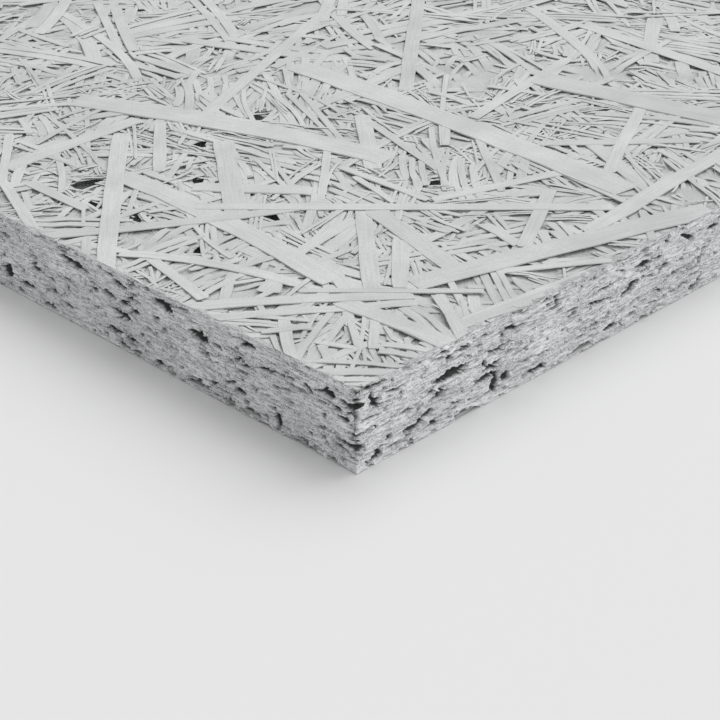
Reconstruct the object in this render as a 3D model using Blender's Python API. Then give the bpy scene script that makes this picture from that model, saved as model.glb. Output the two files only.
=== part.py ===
"""Wood wool board: long flat wood strands bound with grey cement, pressed to a slab and sawn square.

The board is one piece. Its two faces are relief: strands lie over each other in layers one strand
thick, with open pits between them. The four sawn edges are flat, with flattened voids in them.

Frame: +Z up, origin at the middle of the underside. The edges run along X and Y.
"""

import math
import random

import bmesh
import bpy
from mathutils import Matrix, Vector, geometry

MM = 0.001

# Size of the sawn board
BOARD_LENGTH = 600 * MM
BOARD_WIDTH = 600 * MM
BOARD_THICKNESS = 25 * MM

# Strands that stand out on the two faces. STRAND_ROOT is how far they reach into the mat, and
# END_SLANT how far an end leans along the strand, as a share of its width.
STRAND_THICKNESS = 0.4 * MM
TOP_LAYERS = 5
UNDERSIDE_LAYERS = 3
STRAND_ROOT = 0.6 * MM
END_SLANT = 0.35
CLEARANCE = 0.5 * MM
NARROWEST_STRAND = 4.5 * MM
WIDEST_STRAND = 11 * MM
SHORTEST_STRAND = 70 * MM
LONGEST_STRAND = 210 * MM
LONGEST_STRAIGHT = 135 * MM
BEND_LENGTH = 90 * MM
STRONGEST_BEND = 5 * MM
TOP_STRANDS = 119
UNDERSIDE_STRANDS = 40
TOP_SEED = 11
UNDERSIDE_SEED = 23

# Surplus of the pressed mat, which the saw takes off
SAW_ALLOWANCE = 14 * MM

# Hollows are uneven: each corner keeps a random share of its distance from the middle
LEAST_REACH = 0.75

# Flattened voids in the sawn edges, clear of a plain patch in the middle of each
VOIDS_PER_EDGE = 29
VOID_SIDES = 5
VOID_SEED = 40
SHORTEST_VOID = 7 * MM
LONGEST_VOID = 18 * MM
FLATTEST_VOID = 1.4 * MM
TALLEST_VOID = 3.2 * MM
VOID_DEPTH = 6 * MM
VOID_TAPER = 0.5
VOID_TILT = math.radians(9)
PLAIN_PATCH = 12 * MM

# Voids beside the front left corner, which take the place of random ones there: distance from that
# corner in millimetres, height as a share of the thickness, length and gap in millimetres, and how
# steeply the void rises to the right, seen from outside
FRONT_EDGE_VOIDS = [
    (12.0, 0.24, 2.8, 1.9, 0.0),
    (23.3, 0.24, 11.4, 2.8, 0.18),
    (29.9, 0.43, 6.7, 1.9, 0.12),
    (35.1, 0.61, 14.9, 3.6, 0.06),
    (47.0, 0.34, 6.6, 2.0, 0.08),
    (51.5, 0.47, 8.4, 1.8, 0.1),
    (52.7, 0.22, 3.8, 6.5, 0.2),
    (53.7, 0.61, 9.0, 1.4, 0.05),
    (57.2, 0.21, 3.1, 2.2, 0.0),
    (57.9, 0.81, 4.1, 1.9, 0.1),
    (70.9, 0.11, 7.4, 2.2, 0.05),
    (85.2, 0.57, 4.6, 1.8, 0.0),
]
LEFT_EDGE_VOIDS = [
    (17.7, 0.72, 4.1, 2.5, -0.3),
    (28.9, 0.18, 2.9, 5.5, 0.0),
    (33.0, 0.69, 3.4, 1.8, -0.1),
    (39.0, 0.12, 6.0, 2.2, -0.2),
    (40.8, 0.85, 6.6, 2.5, -0.2),
    (59.8, 0.68, 8.4, 3.1, -0.1),
    (61.7, 0.12, 7.2, 2.0, 0.1),
    (74.3, 0.84, 8.2, 3.2, -0.15),
    (87.3, 0.58, 4.6, 1.8, 0.0),
    (93.3, 0.44, 11.3, 2.8, -0.06),
    (93.7, 0.83, 6.7, 2.1, -0.1),
    (97.2, 0.21, 7.0, 1.8, 0.0),
    (99.2, 0.64, 8.6, 3.2, -0.12),
    (114.9, 0.81, 14.4, 3.2, -0.06),
    (118.7, 0.21, 4.3, 1.9, -0.1),
    (133.3, 0.48, 5.2, 1.9, 0.1),
    (138.9, 0.2, 9.6, 2.4, 0.1),
    (148.4, 0.25, 7.8, 6.0, 0.1),
]
VOIDS_BEYOND_LISTED = 19

# Notches in the upright corners
NOTCHES_PER_CORNER = 4
NOTCH_SIDES = 5
NOTCH_SEED = 60
NOTCH_REACH = 6 * MM
NOTCH_HEIGHT = 2 * MM
NOTCH_TAPER = 0.4

# Pits between the strands of a face
TOP_PITS = 26
UNDERSIDE_PITS = 12
PIT_SIDES = 4
TOP_PIT_SEED = 31
UNDERSIDE_PIT_SEED = 32
SMALLEST_PIT = 2.2 * MM
LARGEST_PIT = 4.4 * MM
PIT_DEPTH = 3.5 * MM
PIT_TAPER = 0.55

# Random places tried for each strand, void or pit before the rest are left out
TRIES = 50

# How far a cutter starts outside the surface that it cuts
CUTTER_START = 1 * MM

# The part of the top, measured from the front left corner, whose strands are listed below.
# Others pass there only under the uppermost layers.
LISTED_REACH = 235 * MM
LISTED_LAYERS = 2

# Strands near the front left corner, uppermost first, in millimetres from that corner:
# x and y of one end, x and y of the other, width, and how far the middle bows to the left
CORNER_STRANDS = [
    (66, 175, -4, 95, 6.0, 0),
    (52, 30, 152, 2, 9.0, 0),
    (-3, 67, 64, 15, 5.4, 0),
    (43, 113, 132, 23, 4.6, 0),
    (152, 183, 145, 28, 11.5, 2),
    (74, 211, 112, 97, 11.5, 4),
    (203, 113, 222, 10, 12.0, 0),
    (98, 169, 208, 222, 4.8, 0),
    (246, 209, 161, 136, 5.3, 0),
    (-3, 130, 75, 86, 4.6, -3),
    (31, 38, 34, -3, 6.4, 0),
    (-4, 57, 45, 22, 4.0, 0),
    (129, 45, 92, 24, 4.4, 0),
    (114, 18, 194, 25, 6.0, 0),
    (80, 73, 67, 27, 7.0, 0),
    (52, 21, 37, -4, 3.8, 0),
    (26, 35, -4, 20, 3.6, 0),
    (44, 5, 98, -3, 4.2, 0),
    (78, 75, 42, 36, 5.1, 0),
    (71, 53, 48, 31, 4.8, 0),
    (44, 145, 38, 47, 8.2, 2),
    (85, 146, 49, 99, 7.0, 0),
    (8, 103, 30, 52, 4.1, 3),
    (12, 94, 6, 64, 3.8, 0),
    (44, 67, 72, 72, 4.2, 0),
    (46, 58, 37, 41, 4.2, 0),
    (228, 117, 158, 102, 4.4, 0),
    (206, 68, 153, 41, 4.4, 0),
    (262, 138, 252, 40, 6.5, 0),
    (22, 177, 78, 181, 6.0, 0),
    (81, 173, 54, 141, 4.2, 0),
    (15, 169, -4, 122, 3.8, 0),
    (20, 163, 20, 134, 4.1, 0),
    (40, 201, 12, 166, 3.8, 0),
    (98, 65, 142, 51, 4.1, 0),
    (131, 125, 117, 80, 3.8, 0),
    (147, 90, 118, 55, 3.8, 0),
]

# Outermost strands across the middle of each face, which a batten or the ground meets
TOP_MIDDLE_STRAND = (210, 268, 385, 330, 7.0, 0)
UNDERSIDE_MIDDLE_STRAND = (215, 290, 385, 312, 7.0, 0)

BOARD_COLOUR = (0.62, 0.64, 0.635, 1.0)
BOARD_ROUGHNESS = 0.95

TOP_GROUND = BOARD_THICKNESS - TOP_LAYERS * STRAND_THICKNESS
UNDERSIDE_GROUND = UNDERSIDE_LAYERS * STRAND_THICKNESS


def clear_scene():
    for old in list(bpy.data.objects):
        bpy.data.objects.remove(old, do_unlink=True)


def cement_grey():
    material = bpy.data.materials.new("cement_grey_wood_wool")
    material.use_nodes = True
    shader = material.node_tree.nodes["Principled BSDF"]
    shader.inputs["Base Color"].default_value = BOARD_COLOUR
    shader.inputs["Roughness"].default_value = BOARD_ROUGHNESS
    shader.inputs["Metallic"].default_value = 0.0
    material.diffuse_color = BOARD_COLOUR
    return material


def new_object(name, bm):
    """Turns a bmesh into an object at the origin, with its faces pointing out."""
    bmesh.ops.recalc_face_normals(bm, faces=bm.faces)
    mesh = bpy.data.meshes.new(name)
    bm.to_mesh(mesh)
    bm.free()
    made = bpy.data.objects.new(name, mesh)
    bpy.context.scene.collection.objects.link(made)
    return made


def helper(name, bm):
    """An object that shapes the board and isn't a piece of it."""
    made = new_object(name, bm)
    made.hide_render = True
    made.display_type = "WIRE"
    return made


def combine(board, other, operation):
    """Adds a Boolean modifier that joins, cuts or trims the board with another solid."""
    modifier = board.modifiers.new(other.name, "BOOLEAN")
    modifier.operation = operation
    modifier.solver = "EXACT"
    modifier.object = other


class Strand:
    """The centre line of a flat strand on a face, seen from above, and its width."""

    def __init__(self, start, end, width, bow):
        along = end - start
        across = Vector((-along.y, along.x)).normalized()
        steps = 1 if bow == 0 else max(2, round(along.length / BEND_LENGTH) + 1)
        self.width = width
        self.across = across
        self.points = []
        for step in range(steps + 1):
            share = step / steps
            lift = bow * 4 * share * (1 - share)
            self.points.append(start + along * share + across * lift)

    def spans(self):
        return zip(self.points[:-1], self.points[1:])

    def touches(self, other):
        """True if this strand and the other would meet if they lay in the same layer."""
        reach = (self.width + other.width) / 2 + CLEARANCE
        return any(
            spans_gap(*mine, *theirs) < reach
            for mine in self.spans()
            for theirs in other.spans()
        )

    def outline(self):
        """The strand's corners in order, along one side and back along the other. Its ends slant."""
        side = self.across * (self.width / 2)
        slant = Vector((self.across.y, -self.across.x)) * (self.width * END_SLANT / 2)
        left = [point + side for point in self.points]
        right = [point - side for point in self.points]
        for end in (0, -1):
            left[end] = left[end] + slant
            right[end] = right[end] - slant
        return left + right[::-1]


def spans_gap(a, b, c, d):
    """The shortest distance between the straight spans a-b and c-d, 0 where they cross."""
    if geometry.intersect_line_line_2d(a, b, c, d):
        return 0.0
    return min(
        point_gap(a, c, d),
        point_gap(b, c, d),
        point_gap(c, a, b),
        point_gap(d, a, b),
    )


def point_gap(point, start, end):
    """The distance from a point to the straight span start-end."""
    nearest, share = geometry.intersect_point_line(point, start, end)
    if share < 0:
        return (point - start).length
    if share > 1:
        return (point - end).length
    return (point - Vector(nearest[:2])).length


def from_front_left_corner(x_mm, y_mm):
    return Vector((x_mm * MM - BOARD_LENGTH / 2, y_mm * MM - BOARD_WIDTH / 2))


def listed_strand(row):
    start = from_front_left_corner(row[0], row[1])
    end = from_front_left_corner(row[2], row[3])
    return Strand(start, end, row[4] * MM, row[5] * MM)


def random_strand(rng):
    """A strand anywhere on a face, in any direction. Long ones bow a little."""
    middle = Vector(
        (
            rng.uniform(-BOARD_LENGTH, BOARD_LENGTH) / 2,
            rng.uniform(-BOARD_WIDTH, BOARD_WIDTH) / 2,
        )
    )
    heading = rng.uniform(0, math.pi)
    length = rng.uniform(SHORTEST_STRAND, LONGEST_STRAND)
    width = rng.uniform(NARROWEST_STRAND, WIDEST_STRAND)
    bow = rng.uniform(-STRONGEST_BEND, STRONGEST_BEND) if length > LONGEST_STRAIGHT else 0
    half = Vector((math.cos(heading), math.sin(heading))) * (length / 2)
    return Strand(middle - half, middle + half, width, bow)


def near_listed_corner(strand):
    corner = from_front_left_corner(0, 0)
    return any(point_gap(corner, *span) < LISTED_REACH for span in strand.spans())


def place(strand, layers):
    """Lays the strand in the uppermost layer where it touches no other. False if none is free."""
    for layer in layers:
        if not any(strand.touches(other) for other in layer):
            layer.append(strand)
            return True
    return False


def lay_face(seed, layer_count, listed, wanted, covered_in_corner=0):
    """The layers of strands on one face, outermost first: listed strands, then random ones."""
    rng = random.Random(seed)
    layers = [[] for _ in range(layer_count)]
    for row in listed:
        place(listed_strand(row), layers)
    laid = 0
    tries = 0
    while laid < wanted and tries < wanted * TRIES:
        tries += 1
        strand = random_strand(rng)
        first = covered_in_corner if near_listed_corner(strand) else 0
        laid += place(strand, layers[first:])
    return layers


def box_bmesh(length, width, bottom, top):
    bm = bmesh.new()
    bmesh.ops.create_cube(bm, size=1)
    bmesh.ops.scale(bm, vec=(length, width, top - bottom), verts=bm.verts)
    bmesh.ops.translate(bm, vec=(0, 0, (top + bottom) / 2), verts=bm.verts)
    return bm


def pressed_mat():
    """The mat between the strands of its two faces, before it is sawn to size."""
    length = BOARD_LENGTH + 2 * SAW_ALLOWANCE
    width = BOARD_WIDTH + 2 * SAW_ALLOWANCE
    return new_object("board", box_bmesh(length, width, UNDERSIDE_GROUND, TOP_GROUND))


def strand_layer(name, layer, low, high):
    """All strands of one layer, each a flat bar from its root in the mat to its outer side."""
    bm = bmesh.new()
    for strand in layer:
        corners = [bm.verts.new((point.x, point.y, low)) for point in strand.outline()]
        base = bm.faces.new(corners)
        grown = bmesh.ops.extrude_face_region(bm, geom=[base], use_keep_orig=True)
        raised = [item for item in grown["geom"] if isinstance(item, bmesh.types.BMVert)]
        bmesh.ops.translate(bm, vec=(0, 0, high - low), verts=raised)
    return helper(name, bm)


def add_top_strands(board, layers):
    for number, layer in enumerate(layers):
        high = BOARD_THICKNESS - number * STRAND_THICKNESS
        bars = strand_layer(f"top_strands_{number}", layer, TOP_GROUND - STRAND_ROOT, high)
        combine(board, bars, "UNION")


def add_underside_strands(board, layers):
    for number, layer in enumerate(layers):
        low = number * STRAND_THICKNESS
        bars = strand_layer(
            f"underside_strands_{number}", layer, low, UNDERSIDE_GROUND + STRAND_ROOT
        )
        combine(board, bars, "UNION")


def saw_to_size(board):
    """Trims the mat and its strands to the sawn length and width."""
    clear_of_faces = BOARD_THICKNESS
    block = box_bmesh(
        BOARD_LENGTH, BOARD_WIDTH, -clear_of_faces, BOARD_THICKNESS + clear_of_faces
    )
    combine(board, helper("saw_cut", block), "INTERSECT")


def add_hollow(bm, rng, sides, half_length, half_height, depth, taper, place_at):
    """One closed cutter: an uneven flat ring, drawn in along -Z to a smaller one."""
    cap = bmesh.ops.create_circle(bm, cap_ends=True, radius=1, segments=sides)
    ring = cap["verts"]
    for vert in ring:
        vert.co *= rng.uniform(LEAST_REACH, 1)
    bmesh.ops.scale(bm, vec=(half_length, half_height, 1), verts=ring)
    face = ring[0].link_faces[0]
    grown = bmesh.ops.extrude_face_region(bm, geom=[face], use_keep_orig=True)
    inner = [item for item in grown["geom"] if isinstance(item, bmesh.types.BMVert)]
    bmesh.ops.scale(bm, vec=(taper, taper, 1), verts=inner)
    bmesh.ops.translate(bm, vec=(0, 0, -depth), verts=inner)
    bmesh.ops.transform(bm, matrix=place_at, verts=ring + inner)


def apart(centre, size, taken):
    """True if a box of this half size round centre is clear of all those already taken."""
    return all(
        abs(centre[0] - other[0]) > size[0] + other_size[0] + CLEARANCE
        or abs(centre[1] - other[1]) > size[1] + other_size[1] + CLEARANCE
        for other, other_size in taken
    )


def add_void(bm, rng, place, half_length, half_height, lean, edge_distance, turn):
    """A cutter at this place along and up an edge, which faces -Y before it is turned about Z."""
    along, height = place
    place_at = (
        Matrix.Rotation(turn, 4, "Z")
        @ Matrix.Translation((along, -edge_distance - CUTTER_START, height))
        @ Matrix.Rotation(math.pi / 2, 4, "X")
        @ Matrix.Rotation(lean, 4, "Z")
    )
    depth = CUTTER_START + rng.uniform(0.5, 1.0) * VOID_DEPTH
    add_hollow(bm, rng, VOID_SIDES, half_length, half_height, depth, VOID_TAPER, place_at)


def edge_voids(name, seed, edge_length, edge_distance, turn, listed, corner_side):
    """Cutters for the voids of one sawn edge.

    Listed voids are measured from the left end of the edge if corner_side is -1, from the right end
    if it is 1. Random ones fill the rest.
    """
    rng = random.Random(seed)
    bm = bmesh.new()
    patch = (PLAIN_PATCH / 2, PLAIN_PATCH / 2)
    taken = [((0, BOARD_THICKNESS / 2), patch)]
    listed_reach = 0
    for distance, height_share, length, gap, slope in listed:
        half_length, half_height = length * MM / 2, gap * MM / 2
        lowest = UNDERSIDE_GROUND + half_height + STRAND_ROOT
        highest = TOP_GROUND - half_height - STRAND_ROOT
        height = min(max(height_share * BOARD_THICKNESS, lowest), highest)
        place_on_edge = (corner_side * (edge_length / 2 - distance * MM), height)
        lean = math.atan(slope)
        add_void(bm, rng, place_on_edge, half_length, half_height, lean, edge_distance, turn)
        listed_reach = max(listed_reach, distance * MM + half_length)
    if listed:
        middle = corner_side * (edge_length - listed_reach) / 2
        whole_height = BOARD_THICKNESS / 2
        taken.append(((middle, whole_height), (listed_reach / 2, whole_height)))
    corner_room = VOID_DEPTH + NOTCH_REACH + CLEARANCE
    lowest = UNDERSIDE_GROUND + TALLEST_VOID / 2 + STRAND_ROOT
    highest = TOP_GROUND - TALLEST_VOID / 2 - STRAND_ROOT
    wanted = VOIDS_BEYOND_LISTED if listed else VOIDS_PER_EDGE
    for _ in range(wanted * TRIES):
        half_length = rng.uniform(SHORTEST_VOID, LONGEST_VOID) / 2
        half_height = rng.uniform(FLATTEST_VOID, TALLEST_VOID) / 2
        along_room = edge_length / 2 - corner_room - half_length
        place_on_edge = (rng.uniform(-along_room, along_room), rng.uniform(lowest, highest))
        lean = rng.uniform(-VOID_TILT, VOID_TILT)
        size = (half_length, half_height + half_length * abs(math.sin(lean)))
        if not apart(place_on_edge, size, taken):
            continue
        taken.append((place_on_edge, size))
        add_void(bm, rng, place_on_edge, half_length, half_height, lean, edge_distance, turn)
        wanted -= 1
        if wanted == 0:
            break
    return helper(name, bm)


def add_edge_voids(board):
    half_length = BOARD_LENGTH / 2
    half_width = BOARD_WIDTH / 2
    edges = [
        ("front_edge_voids", BOARD_LENGTH, half_width, 0, FRONT_EDGE_VOIDS, -1),
        ("right_edge_voids", BOARD_WIDTH, half_length, math.pi / 2, [], 1),
        ("back_edge_voids", BOARD_LENGTH, half_width, math.pi, [], 1),
        ("left_edge_voids", BOARD_WIDTH, half_length, -math.pi / 2, LEFT_EDGE_VOIDS, 1),
    ]
    for number, (name, edge_length, edge_distance, turn, listed, corner_side) in enumerate(edges):
        voids = edge_voids(
            name, VOID_SEED + number, edge_length, edge_distance, turn, listed, corner_side
        )
        combine(board, voids, "DIFFERENCE")


def add_corner_notches(board):
    """Small gaps between the strand ends at each upright corner."""
    rng = random.Random(NOTCH_SEED)
    bm = bmesh.new()
    pitch = (TOP_GROUND - UNDERSIDE_GROUND) / (NOTCHES_PER_CORNER + 1)
    for side_x in (-1, 1):
        for side_y in (-1, 1):
            for number in range(NOTCHES_PER_CORNER):
                height = UNDERSIDE_GROUND + pitch * (number + rng.uniform(0.8, 1.2))
                corner = Vector((side_x * BOARD_LENGTH / 2, side_y * BOARD_WIDTH / 2, height))
                outward = math.atan2(side_y, side_x)
                place_at = (
                    Matrix.Translation(corner)
                    @ Matrix.Rotation(outward, 4, "Z")
                    @ Matrix.Translation((CUTTER_START, 0, 0))
                    @ Matrix.Rotation(math.pi / 2, 4, "Y")
                    @ Matrix.Rotation(math.pi / 2, 4, "Z")
                )
                reach = NOTCH_REACH * rng.uniform(0.7, 1.0)
                half_height = NOTCH_HEIGHT / 2
                add_hollow(bm, rng, NOTCH_SIDES, reach, half_height, reach, NOTCH_TAPER, place_at)
    combine(board, helper("corner_notches", bm), "DIFFERENCE")


def clear_of_strands(point, radius, layers):
    return all(
        point_gap(point, *span) > strand.width / 2 + radius + CLEARANCE
        for layer in layers
        for strand in layer
        for span in strand.spans()
    )


def face_pits(name, seed, wanted, layers, ground, upward):
    """Cutters for the pits of one face, each clear of every strand."""
    rng = random.Random(seed)
    bm = bmesh.new()
    taken = []
    tries = 0
    while len(taken) < wanted and tries < wanted * TRIES:
        tries += 1
        radius = rng.uniform(SMALLEST_PIT, LARGEST_PIT) / 2
        room_x = BOARD_LENGTH / 2 - VOID_DEPTH - LARGEST_PIT
        room_y = BOARD_WIDTH / 2 - VOID_DEPTH - LARGEST_PIT
        point = Vector((rng.uniform(-room_x, room_x), rng.uniform(-room_y, room_y)))
        size = (radius, radius)
        if not apart(point, size, taken) or not clear_of_strands(point, radius, layers):
            continue
        taken.append((point, size))
        place_at = Matrix.Translation((point.x, point.y, ground + upward * CUTTER_START))
        if upward < 0:
            place_at = place_at @ Matrix.Rotation(math.pi, 4, "X")
        place_at = place_at @ Matrix.Rotation(rng.uniform(0, math.pi), 4, "Z")
        depth = CUTTER_START + PIT_DEPTH * rng.uniform(0.6, 1.0)
        narrow = radius * rng.uniform(0.45, 0.9)
        add_hollow(bm, rng, PIT_SIDES, radius, narrow, depth, PIT_TAPER, place_at)
    return helper(name, bm)


def build_board():
    top_listed = [TOP_MIDDLE_STRAND, *CORNER_STRANDS]
    top = lay_face(TOP_SEED, TOP_LAYERS, top_listed, TOP_STRANDS, LISTED_LAYERS)
    underside_listed = [UNDERSIDE_MIDDLE_STRAND]
    underside = lay_face(UNDERSIDE_SEED, UNDERSIDE_LAYERS, underside_listed, UNDERSIDE_STRANDS)
    board = pressed_mat()
    board.data.materials.append(cement_grey())
    add_top_strands(board, top)
    add_underside_strands(board, underside)
    saw_to_size(board)
    add_edge_voids(board)
    add_corner_notches(board)
    top_pits = face_pits("top_pits", TOP_PIT_SEED, TOP_PITS, top, TOP_GROUND, 1)
    combine(board, top_pits, "DIFFERENCE")
    underside_pits = face_pits(
        "underside_pits", UNDERSIDE_PIT_SEED, UNDERSIDE_PITS, underside, UNDERSIDE_GROUND, -1
    )
    combine(board, underside_pits, "DIFFERENCE")


def main():
    clear_scene()
    build_board()


main()
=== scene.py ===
"""Dresses the wood wool board: strands pressed flat on both faces over a sawn, open-pored core.

Lengths are metres in the board's own frame, with the underside at z = 0.
"""

import math
import random
from collections import namedtuple

import bmesh
import bpy
import numpy as np
from bpy.props import FloatProperty, FloatVectorProperty, IntProperty, PointerProperty
from mathutils import Matrix, Vector


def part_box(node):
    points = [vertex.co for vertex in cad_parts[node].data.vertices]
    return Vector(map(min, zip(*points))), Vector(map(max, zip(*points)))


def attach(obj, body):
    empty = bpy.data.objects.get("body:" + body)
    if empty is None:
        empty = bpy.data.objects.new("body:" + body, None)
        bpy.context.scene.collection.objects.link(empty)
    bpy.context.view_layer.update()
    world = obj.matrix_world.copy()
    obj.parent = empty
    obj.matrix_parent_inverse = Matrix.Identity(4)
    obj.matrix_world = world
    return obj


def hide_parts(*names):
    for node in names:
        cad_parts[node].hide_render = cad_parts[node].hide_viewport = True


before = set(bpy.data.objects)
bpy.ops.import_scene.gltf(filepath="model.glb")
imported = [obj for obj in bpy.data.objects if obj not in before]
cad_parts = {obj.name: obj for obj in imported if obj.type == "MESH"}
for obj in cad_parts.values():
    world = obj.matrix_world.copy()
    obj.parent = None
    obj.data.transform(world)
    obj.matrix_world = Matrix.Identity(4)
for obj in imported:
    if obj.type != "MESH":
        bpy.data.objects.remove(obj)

bl_info = {
    "name": "Wood Wool Board",
    "version": (1, 0, 0),
    "blender": (4, 5, 0),
    "location": "3D View > Sidebar > Wood Wool",
    "description": "Models a cement-bonded wood wool board strand by strand",
    "category": "Add Mesh",
}

MM = 0.001
LOW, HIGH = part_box("board")
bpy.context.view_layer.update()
BODY = "root"
NODE = "board"

# Kinds of strand. sinking: how likely one lies under others; bundle: how many lie side by side at
# most; bend: the radius to which one bends over another; flatness: thickness against the thickest
# kind; longest_step: the longest straight piece; choices: how many headings are tried to fill a gap.
Kind = namedtuple(
    "Kind",
    "name narrowest widest shortest longest sinking bundle bend flatness lean end_taper longest_step"
    " choices",
)
BROAD = Kind(
    "broad", 6.5 * MM, 11 * MM, 80 * MM, 190 * MM, 0.35, 1, 0.10, 1.0, 0.0, 0.15, 9 * MM, 1
)
MEDIUM = Kind(
    "medium", 3.4 * MM, 6.0 * MM, 28 * MM, 120 * MM, 0.8, 2, 0.05, 0.9, 0.015, 0.3, 11 * MM, 1
)
NARROW = Kind(
    "narrow", 1.7 * MM, 3.4 * MM, 14 * MM, 75 * MM, 1.0, 3, 0.03, 0.8, 0.04, 0.5, 12 * MM, 3
)
FINE = Kind("fine", 0.8 * MM, 1.7 * MM, 7 * MM, 36 * MM, 1.1, 3, 0.015, 0.65, 0.1, 0.8, 12 * MM, 4)
KINDS = (BROAD, MEDIUM, NARROW, FINE)
DEEPEST = 1.35 * MM
# How much of its thickness a strand lies below the one that crosses it. The rest is pressed in.
STEP_DOWN = 0.42
# How far the ends of a strand are pressed in, as a share of its thickness
END_DIP = 0.9

# Strands at the front left corner, uppermost first, in millimetres from that corner: x and y of one
# end, x and y of the other, width, and how far the middle bows to the left
CORNER_STRANDS = [
    (66, 175, -4, 95, 6, 0), (52, 30, 152, 2, 9, 0), (27.5, 49.2, 62.3, 13.2, 2.6, 0),
    (-3, 67, 47.6, 25.6, 4.8, 0), (43, 113, 132, 23, 4.6, 0), (152, 183, 145, 28, 11.5, 2),
    (74, 211, 112, 97, 11.5, 4), (203, 113, 222, 10, 12, 0), (98, 169, 208, 222, 4.8, 0),
    (246, 209, 161, 136, 5.3, 0), (-3, 130, 75, 86, 4.6, -3), (31, 38, 34, -3, 6.4, 0),
    (-4, 57, 45, 22, 4, 0), (129, 45, 92, 24, 4.4, 0), (114, 18, 194, 25, 6, 0), (80, 73, 67, 27, 7, 0),
    (52, 21, 37, -4, 3.8, 0), (26, 35, -4, 20, 2.2, 0), (44, 5, 98, -3, 4.2, 0), (78, 75, 42, 36, 5.1, 0),
    (71, 53, 48, 31, 4.8, 0), (44, 145, 38, 47, 8.2, 2), (85, 146, 49, 99, 7, 0),
    (8, 103, 30, 52, 4.1, 3), (12, 94, 6, 64, 3.8, 0), (44, 67, 72, 72, 4.2, 0), (46, 58, 37, 41, 4.2, 0),
    (228, 117, 158, 102, 4.4, 0), (206, 68, 153, 41, 4.4, 0), (262, 138, 252, 40, 6.5, 0),
    (22, 177, 78, 181, 6, 0), (81, 173, 54, 141, 4.2, 0), (15, 169, -4, 122, 3.8, 0),
    (20, 163, 20, 134, 4.1, 0), (40, 201, 12, 166, 3.2, 0), (98, 65, 142, 51, 4.1, 0),
    (131, 125, 117, 80, 3.4, 0), (147, 90, 118, 55, 3.2, 0), (42, 59, 57, 58, 2.6, 0),
    (46, 35, 66, 50, 1.2, 0), (4, 39, 15, 32, 2.7, 0), (13, 40, -4, 19, 3.4, 0), (20, 56, 29, 59, 4.7, 0),
    (24, 26, 16, 15, 2.4, 0), (31, 24, 18, 12, 2.9, 0), (30, 27, 6, 8, 1.2, 1), (10, 23, 6, 16, 2.6, 0),
    (21, 12, 30, -2, 2.6, 0), (18, 10, 25, -2, 2.5, 0), (0, 22, 18, -1, 2.1, 0), (-1, 14, 14, -1, 3.6, 0),
    (-1, 9, 9, -1, 2.6, 0), (10, 25, 15, 15, 2.1, 0), (23, 139, 13, 126, 1.2, 0),
    (8, 118, 0, 108, 2.8, 0), (156, 71, 195, 36, 4.3, 0), (53.5, 124, 77.3, 95.9, 6.2, 0),
    (108.9, 121.1, 74.2, 89.1, 2.7, 0), (69.9, 146.7, 52.3, 134.7, 2.2, 0),
    (30.2, 61.6, 21.7, 54.1, 5.3, 0), (96.6, 103.4, 97.1, 66.4, 3.2, 0), (95.5, 42.5, 92, 26.4, 4, 0),
    (94.4, 95.1, 88.5, 72.1, 2.4, 0), (45.9, 6.6, 92.6, 1.1, 3.4, 0), (74.4, 18.6, 103, 0.7, 3, 0),
    (167.6, 45.3, 157.4, 28.2, 1.7, 0), (145.2, 69.9, 137.9, 23.2, 2.6, 0),
    (148.1, 105.2, 133.6, 92.2, 2.9, 0), (133.6, 130.4, 103.3, 95.3, 5.6, 0),
]

# Pits between those strands, in millimetres from the same corner: x and y of the middle, width
# across the diagonal from that corner and length along it
CORNER_PITS = [
    (31, 149.8, 6.2, 4.6), (36.2, 150.6, 2.6, 2.2), (53.7, 172.9, 2.5, 2.6), (25.2, 136.6, 2.2, 2.4),
    (26.8, 118.8, 2.2, 2.4), (57.9, 126.7, 2.3, 3), (56, 90.5, 2.5, 2.8), (109, 154.5, 3.4, 3.8),
    (77.9, 149.8, 2.8, 3.4), (109.1, 74.3, 2.8, 3.2), (93.7, 152.1, 2.8, 3.6), (24.9, 89.2, 2.4, 1.8),
]
PIT_DEPTH = 3.8 * MM

# How far from that corner the camera sees the sawn edges
SEEN_EDGE = 162 * MM
# The part of the top that the camera sees, in metres from that corner: how far x + y reaches, and
# how far x - y does at the corner, and more for each metre of x + y. Then the reach of its near part,
# and the breadth of the rim of that
SEEN_REACH = 0.475
SEEN_BREADTH = 0.155
SEEN_SPREAD = 0.15
NEAR_REACH = 300 * MM
RIM = 6 * MM

# How each face is filled, in this order: the region, how many strands or bundles of each kind are
# tried, the least share of a strand that has to show, and the share of the region to cover
TOP_FILL = (
    ("rim", {NARROW: 250, FINE: 500}, 0.1, 0.985),
    ("near", {MEDIUM: 110, NARROW: 1500, FINE: 3000}, 0.1, 0.985),
    ("seen", {BROAD: 3, MEDIUM: 500, NARROW: 1300, FINE: 600}, 0.14, 0.97),
    ("unseen", {BROAD: 120, MEDIUM: 1700, NARROW: 1700}, 0.18, 0.93),
    ("unseen", {BROAD: 100, MEDIUM: 900}, 0.1, 0.93),
)
UNDERSIDE_FILL = ({BROAD: 150, MEDIUM: 1500, NARROW: 700}, 0.25, 0.9)
# How much coarser the strands' points are spaced where the photograph doesn't show them
UNSEEN_COARSENESS = 2.0
UNDERSIDE_COARSENESS = 2.5

# Spacing of a sawn edge's points along it, and how many it has from top to bottom
NEAR_STEP, NEAR_ROWS = 0.32 * MM, 78
FAR_STEP, FAR_ROWS = 2.6 * MM, 38
# Angles from which an edge between two faces is shaded sharp
SAWN_CREASE = math.radians(70)
STRAND_CREASE = math.radians(25)
INSIDE_CREASE = math.radians(30)
# Points closer than this are one
WELD = 1e-7
STRAND_WELD = 1e-6

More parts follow.
